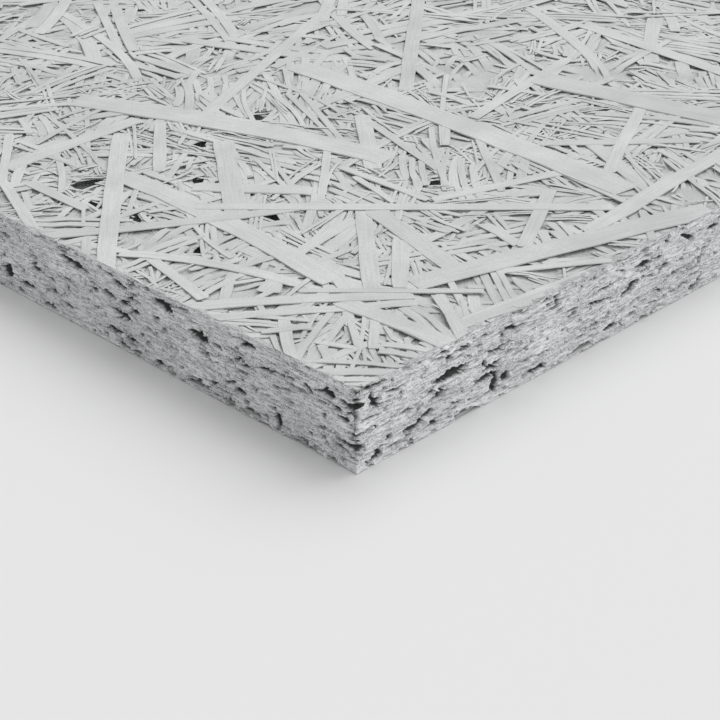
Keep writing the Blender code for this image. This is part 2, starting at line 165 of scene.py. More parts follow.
# Voids in the sawn edges beside the front left corner, in millimetres: place along the edge from that
# corner (negative on the left edge), height, length, height of the gap, depth, and slope
CORNER_VOIDS = [
    (-74.3, 21, 6.8, 2.8, 4, -0.15), (-59.8, 17.1, 7, 2.5, 4, -0.1), (-40.8, 22.2, 5.5, 2.2, 3, -0.2),
    (-43, 16.5, 2.4, 1.3, 1.8, -0.2), (-33, 17.2, 2.8, 1.4, 1.8, -0.1), (-17.7, 18, 3.4, 2, 2.6, -0.3),
    (-10.1, 19.4, 4.4, 2.2, 3.2, 0), (-3.6, 18.8, 5.2, 1.9, 3, -0.2), (-6.5, 16.5, 2.6, 1.6, 2, -0.2),
    (-44.3, 7, 2.8, 1.2, 1.6, 0.1), (-61.7, 1.9, 6, 1.8, 2.6, 0.1), (-47.4, 1.7, 3.4, 1.4, 2.2, -0.3),
    (-39, 1.7, 5, 2, 3, -0.25), (-28.9, 4.2, 2.4, 4.4, 3.2, 0), (-20.6, 1.3, 3.6, 1.6, 2.4, 0.1),
    (-16.2, 0.9, 2.8, 1.4, 2, 0), (-8.8, 0.8, 3.4, 1.3, 2, 0), (-2.2, 7.2, 9.4, 1.5, 3.2, -0.08),
    (-1.6, 11.1, 4.2, 1.1, 1.8, -0.1), (-2.2, 3.9, 4.6, 0.8, 1.2, 0), (-77.9, 1.9, 3.6, 1.4, 2, 0.1),
    (-72, 0.9, 2.8, 1.4, 2, 0), (-87.7, 1.4, 3.2, 1.4, 2, 0.1), (-148.4, 6.1, 4.6, 4, 4, 0.1),
    (-138.9, 5, 7.4, 1.5, 2.2, 0.1), (-142.9, 1.7, 3.3, 1.5, 2, 0), (-127.9, 1.7, 4.8, 1.5, 2.2, 0),
    (-133.3, 11.9, 4.3, 1.5, 2.2, 0.1), (-126.1, 11.1, 3.2, 1.1, 1.6, 0),
    (-118.7, 5.2, 3.6, 1.5, 2, -0.1), (-114.9, 20.2, 11, 2, 2.6, -0.06), (-98, 22.2, 3.8, 1.4, 2, 0),
    (-93.7, 20.8, 5.6, 1.7, 2.6, -0.1), (-99.2, 16, 7.2, 1.8, 2.4, -0.12),
    (-92.5, 15.3, 3.2, 1.4, 2, 0.1), (-87.3, 14.3, 3.8, 1.6, 2.2, 0), (-93.3, 11.5, 9, 1.7, 2.4, -0.06),
    (-97.2, 5.3, 5.8, 1.4, 2.4, 0), (-90.5, 4.6, 3.4, 1.4, 2, 0), (-93.1, 1.4, 4.8, 1.4, 2.2, 0),
    (-78, 15.8, 3.2, 1.4, 1.8, 0.1), (-125.1, 7.5, 3.2, 1.4, 1.8, 0), (35.1, 15.3, 12.4, 2.9, 4.6, 0.06),
    (4.3, 23.8, 3.2, 1.3, 2, 0.1), (6.8, 18.6, 3.8, 1.7, 2.4, 0.1), (5.6, 20.6, 1.9, 1.4, 1.8, 0),
    (29.9, 10.8, 5.6, 1.5, 2.6, 0.12), (32.1, 22.7, 2.8, 1.2, 1.8, 0), (40.7, 20.9, 3, 1.2, 1.8, 0.1),
    (21, 5.3, 6.6, 1.7, 3, 0.02), (25.6, 6.9, 5.2, 2, 3.4, 0.16), (28.9, 3.9, 5.6, 1.1, 2, 0.05),
    (12, 5.9, 2.3, 1.5, 2, 0), (7.3, 2.3, 4, 2.2, 3, 0.2), (19.9, 1, 2.3, 1.3, 1.8, 0),
    (42, 0.8, 8.2, 1.8, 2.6, -0.1), (52.7, 5.6, 3.2, 5.6, 3.2, 0.35), (48.8, 8.4, 6.6, 1.7, 3, 0.08),
    (57.2, 5.3, 2.6, 1.8, 2.4, 0), (51.5, 11.3, 7, 1.4, 2.4, 0.1), (57.9, 20.3, 3.4, 1.5, 2, 0.1),
    (70.9, 2.7, 6.2, 1.8, 2.6, 0.05), (85.4, 14.1, 3.3, 1.3, 1.8, 0.2), (73.1, 22.7, 3.6, 1.4, 2, 0),
    (77.9, 22.5, 3.2, 1.4, 2, 0), (53.7, 15.3, 7.5, 1.1, 1.8, 0.05), (61.2, 24, 3.4, 1.6, 2, 0),
    (103.3, 3.4, 5.6, 2, 2.6, -0.06), (90.3, 1.6, 8.8, 1.6, 2.2, 0.03), (98.8, 0.3, 3, 0.8, 1.2, -0.09),
    (108.6, 1.5, 1.9, 1.3, 1.6, -0.1), (113, 3.8, 4.4, 1.4, 1.8, 0.04), (119.7, 0.6, 3.5, 1, 1.4, -0.06),
    (111.4, 12.9, 7.2, 2.2, 2.6, 0.3), (98.2, 13.5, 10.5, 1.1, 1.6, -0.08), (100, 17.3, 6, 1.3, 2, -0.06),
    (117.1, 18.7, 7.1, 1.8, 2.4, -0.1), (127.9, 14.3, 4, 1.6, 2, 0.06), (130, 10.3, 3.8, 0.9, 1.4, -0.1),
    (138.6, 10.6, 9.3, 0.8, 1.4, 0), (138.8, 20.4, 6.4, 1.7, 2.4, -0.4), (146.5, 11.2, 1.6, 1.9, 2, 0.5),
    (144.7, 1.9, 5, 1.3, 2, 0.1), (146.6, 3.5, 1.2, 2.4, 2, 0.5), (133.7, 4.4, 2.5, 1.1, 1.6, -0.1),
    (156, 1.3, 1.4, 1.3, 1.6, 0.2), (125.3, 7.4, 6, 0.7, 1.2, -0.13), (151.9, 19.4, 6.3, 1.5, 2.4, -0.07),
    (116.6, 7.6, 0.9, 1.6, 1.6, 0.5), (-47, 8, 3.3, 1.3, 2.3, 0.4), (-43.7, 6.4, 3.7, 1.6, 2.8, 0.12),
    (-33.9, 17.1, 6.4, 0.9, 2, 0.15), (-12.1, 16.2, 5, 0.9, 2, 0.04), (-6.9, 16.2, 3.1, 1.5, 2.7, -0.07),
    (-5.2, 14.3, 4.9, 0.9, 2, 0.11), (-24, 18.4, 2.6, 0.8, 1.9, 0.14), (-47.7, 0.8, 2.1, 2, 3, -0.1),
    (-39.8, 1.5, 7.3, 1.6, 2.8, 0.08), (-34, 0.5, 4.5, 0.8, 1.8, 0.07), (-20.4, 0.8, 4.3, 1.8, 3, 0.15),
    (-16.4, 0.4, 3, 1.2, 2.2, 0.2), (-9, 0.1, 2.5, 1.2, 2.2, 0.24), (-54.8, 4.4, 3, 1.2, 2.4, -0.07),
    (-57.2, 2, 1.5, 1.2, 2.4, 0.4), (-2, 11.2, 3.2, 0.9, 2, 0.12), (7.3, 23.4, 7.1, 1.1, 2.1, -0.08),
    (5.2, 23.6, 2.9, 1.5, 2.7, 0.02), (17.9, 11.2, 3.8, 0.9, 1.8, -0.04), (28.6, 2.9, 4.2, 1, 2, -0.11),
    (13.5, 19, 5.5, 0.8, 1.8, -0.19), (32.8, 22.7, 1.9, 1.3, 2.5, -0.27),
    (38, 20.9, 3.8, 0.7, 1.7, -0.18), (41.1, 20.7, 2.4, 1, 2.2, -0.38),
    (53.2, 15.1, 5.6, 0.8, 1.8, -0.24), (58.3, 19.9, 5, 1.3, 2.5, -0.21),
    (5.8, 19.9, 1.7, 1.6, 2.8, -0.59), (8, 17.4, 3.1, 0.9, 2.1, -0.21),
    (48.3, 12.9, 1.8, 1.7, 2.9, -0.39), (52.2, 10.4, 6.1, 0.9, 1.8, -0.31),
    (57.2, 5.7, 3.2, 2.6, 3, -0.29), (38.8, 0.8, 3, 2.4, 3, -0.09), (43.4, 0.2, 6.2, 1.1, 2, -0.28),
    (20.1, 0.8, 1.8, 1.4, 2.6, -0.08), (17.6, 0, 2, 0.9, 1.8, -0.28),
]


def add_object(name, data):
    """Adds an object that holds this mesh, curve, lamp or camera to the scene."""
    made = bpy.data.objects.new(name, data)
    bpy.context.scene.collection.objects.link(made)
    return made


def share(value, start, end):
    """0 at start and 1 at end, smooth between them. Works on numbers and on arrays."""
    t = np.clip((value - start) / (end - start), 0, 1)
    return t * t * (3 - 2 * t)


class SmoothNoise:
    """Random values from -1 to 1 on a square lattice, smooth between its points."""

    def __init__(self, seed, size=256):
        self.lattice = np.random.RandomState(seed).uniform(-1, 1, (size, size))
        self.size = size

    def __call__(self, x, y):
        column, row = np.floor(x).astype(int), np.floor(y).astype(int)
        across, up = share(x - column, 0, 1), share(y - row, 0, 1)
        left, right = column % self.size, (column + 1) % self.size
        low, high = row % self.size, (row + 1) % self.size
        bottom = self.lattice[left, low] * (1 - across) + self.lattice[right, low] * across
        top = self.lattice[left, high] * (1 - across) + self.lattice[right, high] * across
        return bottom * (1 - up) + top * up


Strand = namedtuple("Strand", "kind points radii tilts depths")


class Face:
    """One pressed face of the board, seen from outside, and the strands laid on it so far.

    Strands are laid from the face inwards. roof is the depth below which the next strand has to
    stay: where the face is covered, the underside of the strand that shows there.
    """

    CELL = 0.5 * MM
    MARGIN = 3 * MM
    # Spacing of the points along a strand, and how far it runs on under another that hides it
    STEP = 0.6 * MM
    HIDDEN_END = 2.5 * MM
    # The face's own waves, and the breadth of the rim where strands lie deeper
    SWELL, SWELL_SPAN = 0.1 * MM, 31 * MM
    RIM_FALL = 2.4 * MM
    # A strand's sideways sway as a share of its length, and the share of its width that has to be
    # bare for it to show at a point
    SWAY = 0.004
    LEAST_BARE = 0.15
    # How far a point has to lie off the line between its neighbours to be kept
    SIDEWAYS_LIMIT, DEPTH_LIMIT = 0.12 * MM, 0.06 * MM

    def __init__(self, seed, thickness):
        self.rng = random.Random(seed)
        self.thickness = thickness
        self.coarseness = 1.0
        self.low = np.array(LOW[:2]) - self.MARGIN
        self.high = np.array(HIGH[:2]) + self.MARGIN
        cells = np.ceil((self.high - self.low) / self.CELL).astype(int) + 1
        self.x = self.low[0] + np.arange(cells[0])[:, None] * self.CELL
        self.y = self.low[1] + np.arange(cells[1])[None, :] * self.CELL
        wave = SmoothNoise(seed)
        self.roof = self.SWELL * (1 + wave(self.x / self.SWELL_SPAN, self.y / self.SWELL_SPAN))
        sink = 0.4 + 0.25 * wave(self.x / (6 * MM) + 40, self.y / (6 * MM))
        self.roof += sink * MM * (1 - share(self.to_edge(self.x, self.y), 0, self.RIM_FALL))
        self.covered = np.zeros(self.roof.shape, bool)
        self.strands = []

    @staticmethod
    def to_edge(x, y):
        return np.minimum(
            np.minimum(x - LOW[0], HIGH[0] - x), np.minimum(y - LOW[1], HIGH[1] - y)
        )

    def cells_at(self, points):
        index = np.rint((points - self.low) / self.CELL).astype(int)
        return (
            np.clip(index[..., 0], 0, self.roof.shape[0] - 1),
            np.clip(index[..., 1], 0, self.roof.shape[1] - 1),
        )

    def footprint(self, start, end, width, bow, wobble=0.0, turns=1.0):
        """The points along the middle of a strand inside the board, and the cells that it covers."""
        along = end - start
        length = np.hypot(*along)
        ahead = along / length
        aside = np.array((-ahead[1], ahead[0]))
        t = np.linspace(0, 1, max(4, int(length / self.STEP)))
        sway = bow * 4 * t * (1 - t) + wobble * np.sin(t * math.tau * turns)
        centre = start + np.outer(t, along) + np.outer(sway, aside)
        inside = np.flatnonzero(((centre > self.low) & (centre < self.high)).all(axis=1))
        if len(inside) < 4:
            return None
        centre = centre[inside[0] : inside[-1] + 1]
        lanes = np.linspace(-0.5, 0.5, max(2, int(width / self.CELL) + 1)) * width
        return centre, self.cells_at(centre[:, None, :] + lanes[None, :, None] * aside)

    def bare_share(self, start, end, width):
        """The share of a straight strand that would show."""
        made = self.footprint(start, end, width, 0)
        return 0 if made is None else 1 - self.covered[made[1]].mean()

    def lay(self, kind, start, end, width, bow, least_seen=0.0, lift=0.0):
        """Lays a strand as near the face as those already there let it, if enough of it will show."""
        rng = self.rng
        wobble = self.SWAY * np.hypot(*(end - start)) * rng.uniform(-1, 1)
        made = self.footprint(start, end, width, bow, wobble, rng.uniform(0.7, 1.6))
        if made is None:
            return False
        centre, (column, row) = made
        bare = ~self.covered[column, row]
        if bare.mean() < least_seen:
            return False
        shows = bare.mean(axis=1) > self.LEAST_BARE
        if not shows.any():
            return False
        hidden = int(self.HIDDEN_END / self.STEP)
        first = max(0, np.argmax(shows) - hidden)
        last = min(len(shows), len(shows) - np.argmax(shows[::-1]) + hidden)
        centre, column, row = centre[first:last], column[first:last], row[first:last]
        bare, shows = bare[first:last], shows[first:last]
        if len(centre) < 5:
            return False
        taken = self.roof[column, row].max(axis=1) + lift
        if taken.max() >= PIT_DEPTH:
            return False
        place = np.arange(len(centre)) * self.STEP
        sag = (place[:, None] - place[None, :]) ** 2 / (2 * kind.bend)
        depth = (taken[None, :] - sag).max(axis=1)
        if depth[shows].mean() > DEEPEST:
            return False
        step = STEP_DOWN * self.thickness_of(kind, width)
        under = np.broadcast_to((depth + step)[:, None], bare.shape)
        self.roof[column[bare], row[bare]] = under[bare]
        self.covered[column, row] = True
        self.keep_strand(kind, centre, depth, width)
        return True

    def thickness_of(self, kind, width):
        return self.thickness * kind.flatness * width / profile_width(kind)

    def keep_strand(self, kind, centre, depth, width):
        """Keeps the strand's points, leaving out those that lie on a straight line between others."""
        rng = self.rng
        step = 4
        picks = list(range(0, len(centre) - 1, step)) + [len(centre) - 1]
        low = [depth[max(0, i - step // 2) : i + step // 2 + 1].max() for i in picks]
        path = np.column_stack((centre[picks], low))
        kept = [0]
        for i in range(1, len(path) - 1):
            chord = path[i + 1] - path[kept[-1]]
            out = path[i] - path[kept[-1]]
            off = out - chord * (out @ chord) / (chord @ chord)
            too_far = np.hypot(*out[:2]) > kind.longest_step * self.coarseness
            sideways = np.hypot(off[0], off[1]) > self.SIDEWAYS_LIMIT * self.coarseness
            if too_far or sideways or abs(off[2]) > self.DEPTH_LIMIT * self.coarseness:
                kept.append(i)
        kept.append(len(path) - 1)
        kept = sorted(set(kept) | {1, len(path) - 2})
        path = path[kept]
        path[[0, -1], 2] += END_DIP * self.thickness_of(kind, width)
        radii = width / profile_width(kind) * np.array([rng.uniform(0.92, 1.08) for _ in kept])
        taper = kind.end_taper
        radii[0] *= rng.uniform(1 - taper, 1)
        radii[-1] *= rng.uniform(1 - taper, 1)
        tilts = np.array([rng.uniform(-kind.lean, kind.lean) for _ in kept])
        self.strands.append(Strand(kind, path[:, :2], radii, tilts, path[:, 2]))


def profile_width(kind):
    return (kind.narrowest + kind.widest) / 2


def from_corner(x_mm, y_mm):
    return np.array((LOW[0] + x_mm * MM, LOW[1] + y_mm * MM))


def kind_of_width(width):
    for kind in KINDS:
        if width >= kind.narrowest:
            return kind
    return FINE


def top_regions(face):
    """The cells of the top that the camera sees, its near part and the rim of that, and the rest."""
    x, y = face.x - LOW[0], face.y - LOW[1]
    seen = (x + y < SEEN_REACH) & (np.abs(x - y) < SEEN_BREADTH + SEEN_SPREAD * (x + y))
    near = seen & (face.x - LOW[0] + face.y - LOW[1] < NEAR_REACH)
    rim = near & (face.to_edge(face.x, face.y) < RIM)
    return {"rim": rim, "near": near, "seen": seen, "unseen": ~seen}


def lay_listed(face):
    for x0, y0, x1, y1, width_mm, bow_mm in CORNER_STRANDS:
        width = width_mm * MM
        face.lay(
            kind_of_width(width), from_corner(x0, y0), from_corner(x1, y1), width, bow_mm * MM
        )


def open_pits(face):
    """Marks the pits, so that no strand crosses them."""
    for x_mm, y_mm, width, length in CORNER_PITS:
        x, y = from_corner(x_mm, y_mm)
        across = ((face.x - x) - (face.y - y)) / (width * MM / math.sqrt(2))
        along = ((face.x - x) + (face.y - y)) / (length * MM / math.sqrt(2))
        pit = (across**2 + along**2 < 1) & ~face.covered
        face.roof[pit] = PIT_DEPTH
        face.covered[pit] = True


def bare_cells(face, region):
    on_board = face.to_edge(face.x, face.y) > 0
    return np.argwhere(region & on_board & ~face.covered)


def best_heading(face, middle, length, width, choices):
    """Of a few random headings, the one along which a strand through the point would show most."""
    best, most = 0, -1
    for _ in range(choices):
        heading = face.rng.uniform(0, math.pi)
        half = np.array((math.cos(heading), math.sin(heading))) * length / 2
        shows = face.bare_share(middle - half, middle + half, width) if choices > 1 else 0
        if shows > most:
            best, most = heading, shows
    return best


def lay_random(face, region, counts, least_seen, goal):
    """Lays strands over the bare part of the region, single and in bundles, until the goal is covered.

    counts says how many single strands or bundles of each kind to try.
    """
    rng = face.rng
    order = [(rng.random() * kind.sinking, i, kind) for kind, n in counts.items() for i in range(n)]
    order.sort(key=lambda item: item[:2])
    size = (region & (face.to_edge(face.x, face.y) > 0)).sum()
    bare = bare_cells(face, region)
    for i, (_, _, kind) in enumerate(order):
        if i % 40 == 0:
            bare = bare_cells(face, region)
            if len(bare) < (1 - goal) * size:
                break
        middle = face.low + np.array(bare[rng.randrange(len(bare))]) * face.CELL
        length = kind.shortest + (kind.longest - kind.shortest) * rng.random() ** 1.5
        heading = best_heading(face, middle, length, kind.narrowest, kind.choices)
        lay_bundle(face, kind, middle, heading, length, least_seen)


def lay_bundle(face, kind, middle, heading, length, least_seen):
    """Lays one or more strands of a kind side by side, nearly parallel."""
    rng = face.rng
    bow = length * rng.gauss(0, 0.03)
    aside = np.array((-math.sin(heading), math.cos(heading)))
    shift = 0.0
    for _ in range(rng.randint(1, kind.bundle)):
        width = kind.narrowest + (kind.widest - kind.narrowest) * rng.random() ** 1.5
        turn = heading + rng.gauss(0, 0.04)
        ahead = np.array((math.cos(turn), math.sin(turn)))
        half = ahead * length * rng.uniform(0.35, 0.5)
        centre = middle + aside * shift + ahead * rng.uniform(-0.1, 0.1) * length
        lift = min(rng.expovariate(1 / (0.06 * MM)), 0.5 * MM)
        face.lay(kind, centre - half, centre + half, width, bow, least_seen, lift)
        shift += width * rng.uniform(1.0, 1.45)


def strand_profile(kind, thickness):
    """The cross-section that a strand's curve is swept with: a flat bar, or a ridge if it is fine."""
    half = profile_width(kind) / 2
    if kind is FINE:
        outline = [(-half, -0.6 * thickness), (0, 0), (half, -0.6 * thickness), (0, -thickness)]
    else:
        bevel = 0.12 * MM
        outline = [(bevel - half, 0), (half - bevel, 0), (half, -thickness), (-half, -thickness)]
    curve = bpy.data.curves.new(f"{kind.name}_profile", "CURVE")
    curve.dimensions = "2D"
    line = curve.splines.new("POLY")
    line.points.add(len(outline) - 1)
    for point, (x, y) in zip(line.points, outline):
        point.co = (x, y, 0, 1)
    line.use_cyclic_u = True
    return add_object(curve.name, curve), [x for x, _ in outline]


def sweep(name, strands, kind, thickness, plane, inward):
    """A mesh of all these strands, with a UV map along and across each one in metres."""
    profile, across = strand_profile(kind, thickness)
    curve = bpy.data.curves.new(name, "CURVE")
    curve.dimensions = "3D"
    curve.bevel_mode = "OBJECT"
    curve.bevel_object = profile
    curve.use_fill_caps = True
    curve.twist_mode = "Z_UP"
    for strand in strands:
        line = curve.splines.new("POLY")
        line.points.add(len(strand.points) - 1)
        co = np.ones((len(strand.points), 4))
        co[:, :2] = strand.points
        co[:, 2] = plane + inward * strand.depths
        line.points.foreach_set("co", co.ravel())
        line.points.foreach_set("radius", strand.radii)
        line.points.foreach_set("tilt", strand.tilts)
    swept = add_object(name, curve)
    bpy.context.view_layer.update()
    graph = bpy.context.evaluated_depsgraph_get()
    mesh = bpy.data.meshes.new_from_object(swept.evaluated_get(graph))
    bpy.data.objects.remove(swept)
    bpy.data.objects.remove(profile)
    mark_strands(mesh, strands, across)
    return mesh


def add_marks(mesh, **marks):
    """Keeps a number for each vertex under each of these names, for the materials to read."""
    for name, values in marks.items():
        mark = mesh.attributes.new(name, "FLOAT", "POINT")
        mark.data.foreach_set("value", np.ascontiguousarray(values).ravel())


def mark_strands(mesh, strands, across):
    """Gives each vertex its place along and across its strand, and its depth below the face."""
    rng = random.Random(len(strands))
    across = np.array(across)
    tubes, caps = [], []
    for strand in strands:
        steps = np.hypot(*np.diff(strand.points, axis=0).T)
        along = np.concatenate(([0], np.cumsum(steps))) + rng.uniform(0, 9)
        shift = rng.uniform(0, 9)
        u = np.repeat(along, len(across))
        v = np.outer(strand.radii, across).ravel() + shift
        depth = np.repeat(strand.depths, len(across))
        tone = np.full(len(u), rng.random())
        rows = np.column_stack((u, v, depth, tone))
        tubes.append(rows)
        caps.append(np.concatenate((rows[-len(across) :], rows[: len(across)])))
    marks = np.concatenate(caps[::-1] + tubes)
    loops = np.zeros(len(mesh.loops), int)
    mesh.loops.foreach_get("vertex_index", loops)
    while mesh.uv_layers:
        mesh.uv_layers.remove(mesh.uv_layers[0])
    uv = mesh.uv_layers.new(name="strand")
    uv.data.foreach_set("uv", marks[loops, :2].ravel())
    # The materials paint shade where this depth mark is large
    add_marks(mesh, depth=marks[:, 2], tone=marks[:, 3])


def saw(bm):
    """Cuts everything outside the board's length and width off, and closes the cut ends."""
    for side in (0, 1):
        for outward, reach in ((-1, LOW[side]), (1, HIGH[side])):
            normal = Vector((0, 0, 0))
            normal[side] = outward
            point = Vector((0, 0, 0))
            point[side] = reach
            cut = bmesh.ops.bisect_plane(
                bm,
                geom=bm.verts[:] + bm.edges[:] + bm.faces[:],
                dist=WELD,
                plane_co=point,
                plane_no=normal,
                clear_outer=True,
            )
            edges = [e for e in cut["geom_cut"] if isinstance(e, bmesh.types.BMEdge)]
            bmesh.ops.holes_fill(bm, edges=edges, sides=0)


def wear_cut_ends(bm):
    """Breaks the sawn ends of the strands back a little, each by another amount."""
    wear = SmoothNoise(3)
    for vert in bm.verts:
        for side in (0, 1):
            for reach, inward in ((LOW[side], 1), (HIGH[side], -1)):
                if abs(vert.co[side] - reach) < 1e-6:
                    along = vert.co[1 - side]
                    chip = 0.6 + wear(along / (2.6 * MM), side) + 0.6 * wear(along / (0.9 * MM), 9)
                    vert.co[side] += inward * (0.3 + 0.33 * min(max(0, chip), 1.5)) * MM


def finish_piece(name, bm, materials, sharp_angle):
    """Makes the piece from its bmesh: closed, faces out, riding on the board in place of the solid."""
    bmesh.ops.recalc_face_normals(bm, faces=bm.faces)
    mesh = bpy.data.meshes.new(name)
    bm.to_mesh(mesh)
    bm.free()
    mesh.shade_smooth()
    mesh.set_sharp_from_angle(angle=sharp_angle)
    for material in materials:
        mesh.materials.append(material)
    piece = add_object(name, mesh)
    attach(piece, BODY)
    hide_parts(NODE)


def add_strand_pieces(face, prefix, plane, inward, material):
    for kind in KINDS:
        strands = [strand for strand in face.strands if strand.kind is kind]
        if not strands:
            continue
        thickness = face.thickness * kind.flatness
        mesh = sweep(f"{prefix}_{kind.name}", strands, kind, -inward * thickness, plane, inward)
        bm = bmesh.new()
        bm.from_mesh(mesh)
        bpy.data.meshes.remove(mesh)
        bmesh.ops.remove_doubles(bm, verts=bm.verts, dist=STRAND_WELD)
        saw(bm)
        wear_cut_ends(bm)
        finish_piece(f"{prefix}_{kind.name}_strands", bm, [material], STRAND_CREASE)


class SawnEdge:
    """The relief of the four sawn edges, as depths and tones on one unrolled strip.

    s runs round the board from its front left corner, to the right along the front edge and, with
    negative values, along the left edge. It meets at the back right corner.
    """

    CELL = 0.3 * MM
    MARGIN = 3 * MM
    # The rough outline eats into a listed void, so it is cut longer, higher and deeper
    LISTED_GROWTH = (1.2, 1.1, 1.2)
    LISTED_SKEW = 0.2
    # Insets over which the wear of the rims along both faces runs out
    RIM_WEAR_END = (4.5 * MM, 8 * MM)

    def __init__(self, settings):
        self.rng = random.Random(settings.seed)
        self.grain = SmoothNoise(settings.seed)
        self.half = (HIGH[0] - LOW[0]) + (HIGH[1] - LOW[1])
        self.height = HIGH[2] - LOW[2]
        self.s = np.arange(-self.half - 5 * MM, self.half + 5 * MM, self.CELL)
        self.z = np.arange(-self.MARGIN, self.height + self.MARGIN, self.CELL)
        shape = (len(self.s), len(self.z))
        self.layers = np.full(shape, 0.25 * MM)
        self.tone = np.full(shape, 0.5)
        self.voids = np.zeros(shape)
        for _ in range(settings.strands):
            self.add_strand()
        for _ in range(settings.pits):
            self.add_pit()
        for _ in range(settings.fissures):
            self.add_fissure()
        for _ in range(settings.voids):
            self.add_void()
        for s, z, length, height, depth, slope in CORNER_VOIDS:
            longer, higher, deeper = self.LISTED_GROWTH
            length, height, depth = longer * length * MM, higher * height * MM, deeper * depth * MM
            self.cut(s * MM, z * MM, length, height, depth, slope, self.LISTED_SKEW)

    def window(self, s, z, reach_s, reach_z):
        first, last = np.searchsorted(self.s, (s - reach_s, s + reach_s))
        low, high = np.searchsorted(self.z, (z - reach_z, z + reach_z))
        box = (slice(first, last), slice(low, high))
        return box, self.s[box[0], None] - s, self.z[None, box[1]] - z

    def random_place(self):
        s = self.rng.uniform(-self.half, self.half)
        return s, self.rng.uniform(0, self.height)

    def add_strand(self):
        """A strand in the cut: a long streak, the end of one, or one that lies against the cut."""
        rng = self.rng
        s, z = self.random_place()
        sort = rng.random()
        if sort < 0.55:
            length, height, slope = rng.uniform(6, 50), rng.uniform(0.4, 0.9), rng.gauss(0, 0.07)
        elif sort < 0.85:
            length, height, slope = rng.uniform(0.9, 5), rng.uniform(0.4, 0.8), rng.gauss(0, 0.12)
        else:
            length, height, slope = rng.uniform(4, 22), rng.uniform(1.0, 2.6), rng.gauss(0, 0.3)
        length, height = length * MM, height * MM
        reach = height / 2 + abs(slope) * length / 2
        box, a, b = self.window(s, z, length / 2, reach)
        b = b - slope * a
        inside = np.abs(b) < height / 2 * (1 - 0.6 * (2 * a / length) ** 4)
        depth = rng.uniform(0.06, 0.42) * MM
        tip = rng.uniform(-0.2, 0.2) * MM
        self.layers[box] = np.where(inside, depth + tip * b / height, self.layers[box])
        self.tone[box] = np.where(inside, rng.random(), self.tone[box])

    def add_pit(self):
        rng = self.rng
        s, z = self.random_place()
        size = (0.45 + 0.7 * rng.random() ** 2) * MM
        self.cut(s, z, size * rng.uniform(1, 2.2), size, 2.2 * size, rng.gauss(0, 0.3), 0.4)

    def add_fissure(self):
        rng = self.rng
        s, z = self.random_place()
        length = (1.6 + 6 * rng.random() ** 1.5) * MM
        height = rng.uniform(0.45, 0.85) * MM
        self.cut(s, z, length, height, 2.8 * height, rng.gauss(0, 0.12), rng.uniform(-0.6, 0.6))

    def add_void(self):
        s, z = self.random_place()
        if abs(s) < SEEN_EDGE:
            return
        rng = self.rng
        big = rng.random() ** 1.8
        length = (2.5 + 8 * big) * rng.uniform(0.8, 1.3) * MM
        height = (1.0 + 2.0 * big) * rng.uniform(0.7, 1.3) * MM
        depth = (1.6 + 2.6 * big) * MM
        self.cut(s, z, length, 1.2 * height, depth, rng.gauss(0, 0.16), rng.uniform(-0.6, 0.6))

    def cut(self, s, z, length, height, depth, slope, skew):
        """A hollow, deepest under its steep roof, with a floor that slopes out and a ragged outline."""
        box, a, b = self.window(s, z, length / 2, height + abs(slope) * length / 2)
        if a.size == 0 or b.size == 0:
            return
        rough = self.grain((a + s) / (0.9 * MM), (b + z) / (0.7 * MM))
        a = 2 * a / length
        gape = np.clip(1 - a * a, 0, 1) ** 0.8 * (1 + skew * a) * (1 + 0.5 * rough)
        b = (b - slope * a * length / 2) / (height / 2) / np.maximum(gape, 0.05)
        shape = np.minimum(share(1 - b, 0, 0.2), share(b + 1, 0, 0.4))
        self.voids[box] = np.maximum(self.voids[box], depth * shape * np.clip(gape, 0, 1) ** 0.3)

    def sample(self, s, z):
        """Depth and tone at each point of a grid. The layers wave up and down along the edge."""
        wave = self.grain(s / (24 * MM), z / (9 * MM) + 11) + 0.4 * self.grain(s / (7 * MM), z / (4 * MM))
        column = np.clip(np.searchsorted(self.s, s), 0, len(self.s) - 1)
        warped = np.clip(np.searchsorted(self.z, z + 1.1 * MM * wave), 0, len(self.z) - 1)
        level = np.clip(np.searchsorted(self.z, z), 0, len(self.z) - 1)
        granules = self.grain(s / (0.6 * MM) + 3, z / (0.5 * MM) + 7)
        lumps = self.grain(s / (1.7 * MM) + 23, z / (1.1 * MM) + 57)
        fibres = self.grain(s / (7 * MM) + 51, (z + 1.1 * MM * wave) / (0.42 * MM) + 19)
        skin = self.layers[column, warped] + (0.13 * granules + 0.05 * lumps + 0.07 * fibres) * MM
        skin = skin * (0.4 + 0.6 * share(z, 0, 1.5 * MM))
        back = np.maximum(skin, self.voids[column, level])
        return np.maximum(back, 0.02 * MM), self.tone[column, warped]

    def on_outline(self, s, inset, off_last, off_next):
        """x and y of the point at s, set in from its edge and kept off the last edge and the next."""
        length, width = HIGH[0] - LOW[0], HIGH[1] - LOW[1]
        x, y = np.empty_like(s), np.empty_like(s)
        sides = (
            (-length - width, -width, HIGH[0], HIGH[1], -1, 0),
            (-width, 0, LOW[0], HIGH[1], 0, -1),
            (0, length, LOW[0], LOW[1], 1, 0),
            (length, length + width, HIGH[0], LOW[1], 0, 1),
        )
        for start, end, from_x, from_y, step_x, step_y in sides:
            here = (s >= start) & (s <= end)
            back = inset[here]
            along = np.clip(s[here] - start, off_last[here], end - start - off_next[here])
            x[here] = from_x + step_x * along - step_y * back
            y[here] = from_y + step_y * along + step_x * back
        return x, y

    def worn_rims(self, s, z, inset):
        """The heights of a beam's points, once the rims along both faces are crumbled and dented."""
        middle = self.height / 2
        crumbs = self.grain(s / (1.2 * MM) + 5, inset / (0.6 * MM) + (z > middle) * 40)
        dents = self.grain(s / (5 * MM) + 9, inset / (4 * MM) + (z > middle) * 70)
        on_rim = share(inset, 0, 0.5 * MM) * (1 - share(inset, *self.RIM_WEAR_END))
        return z + np.sign(middle - z) * on_rim * (0.16 * crumbs + 0.3 * dents + 0.05) * MM

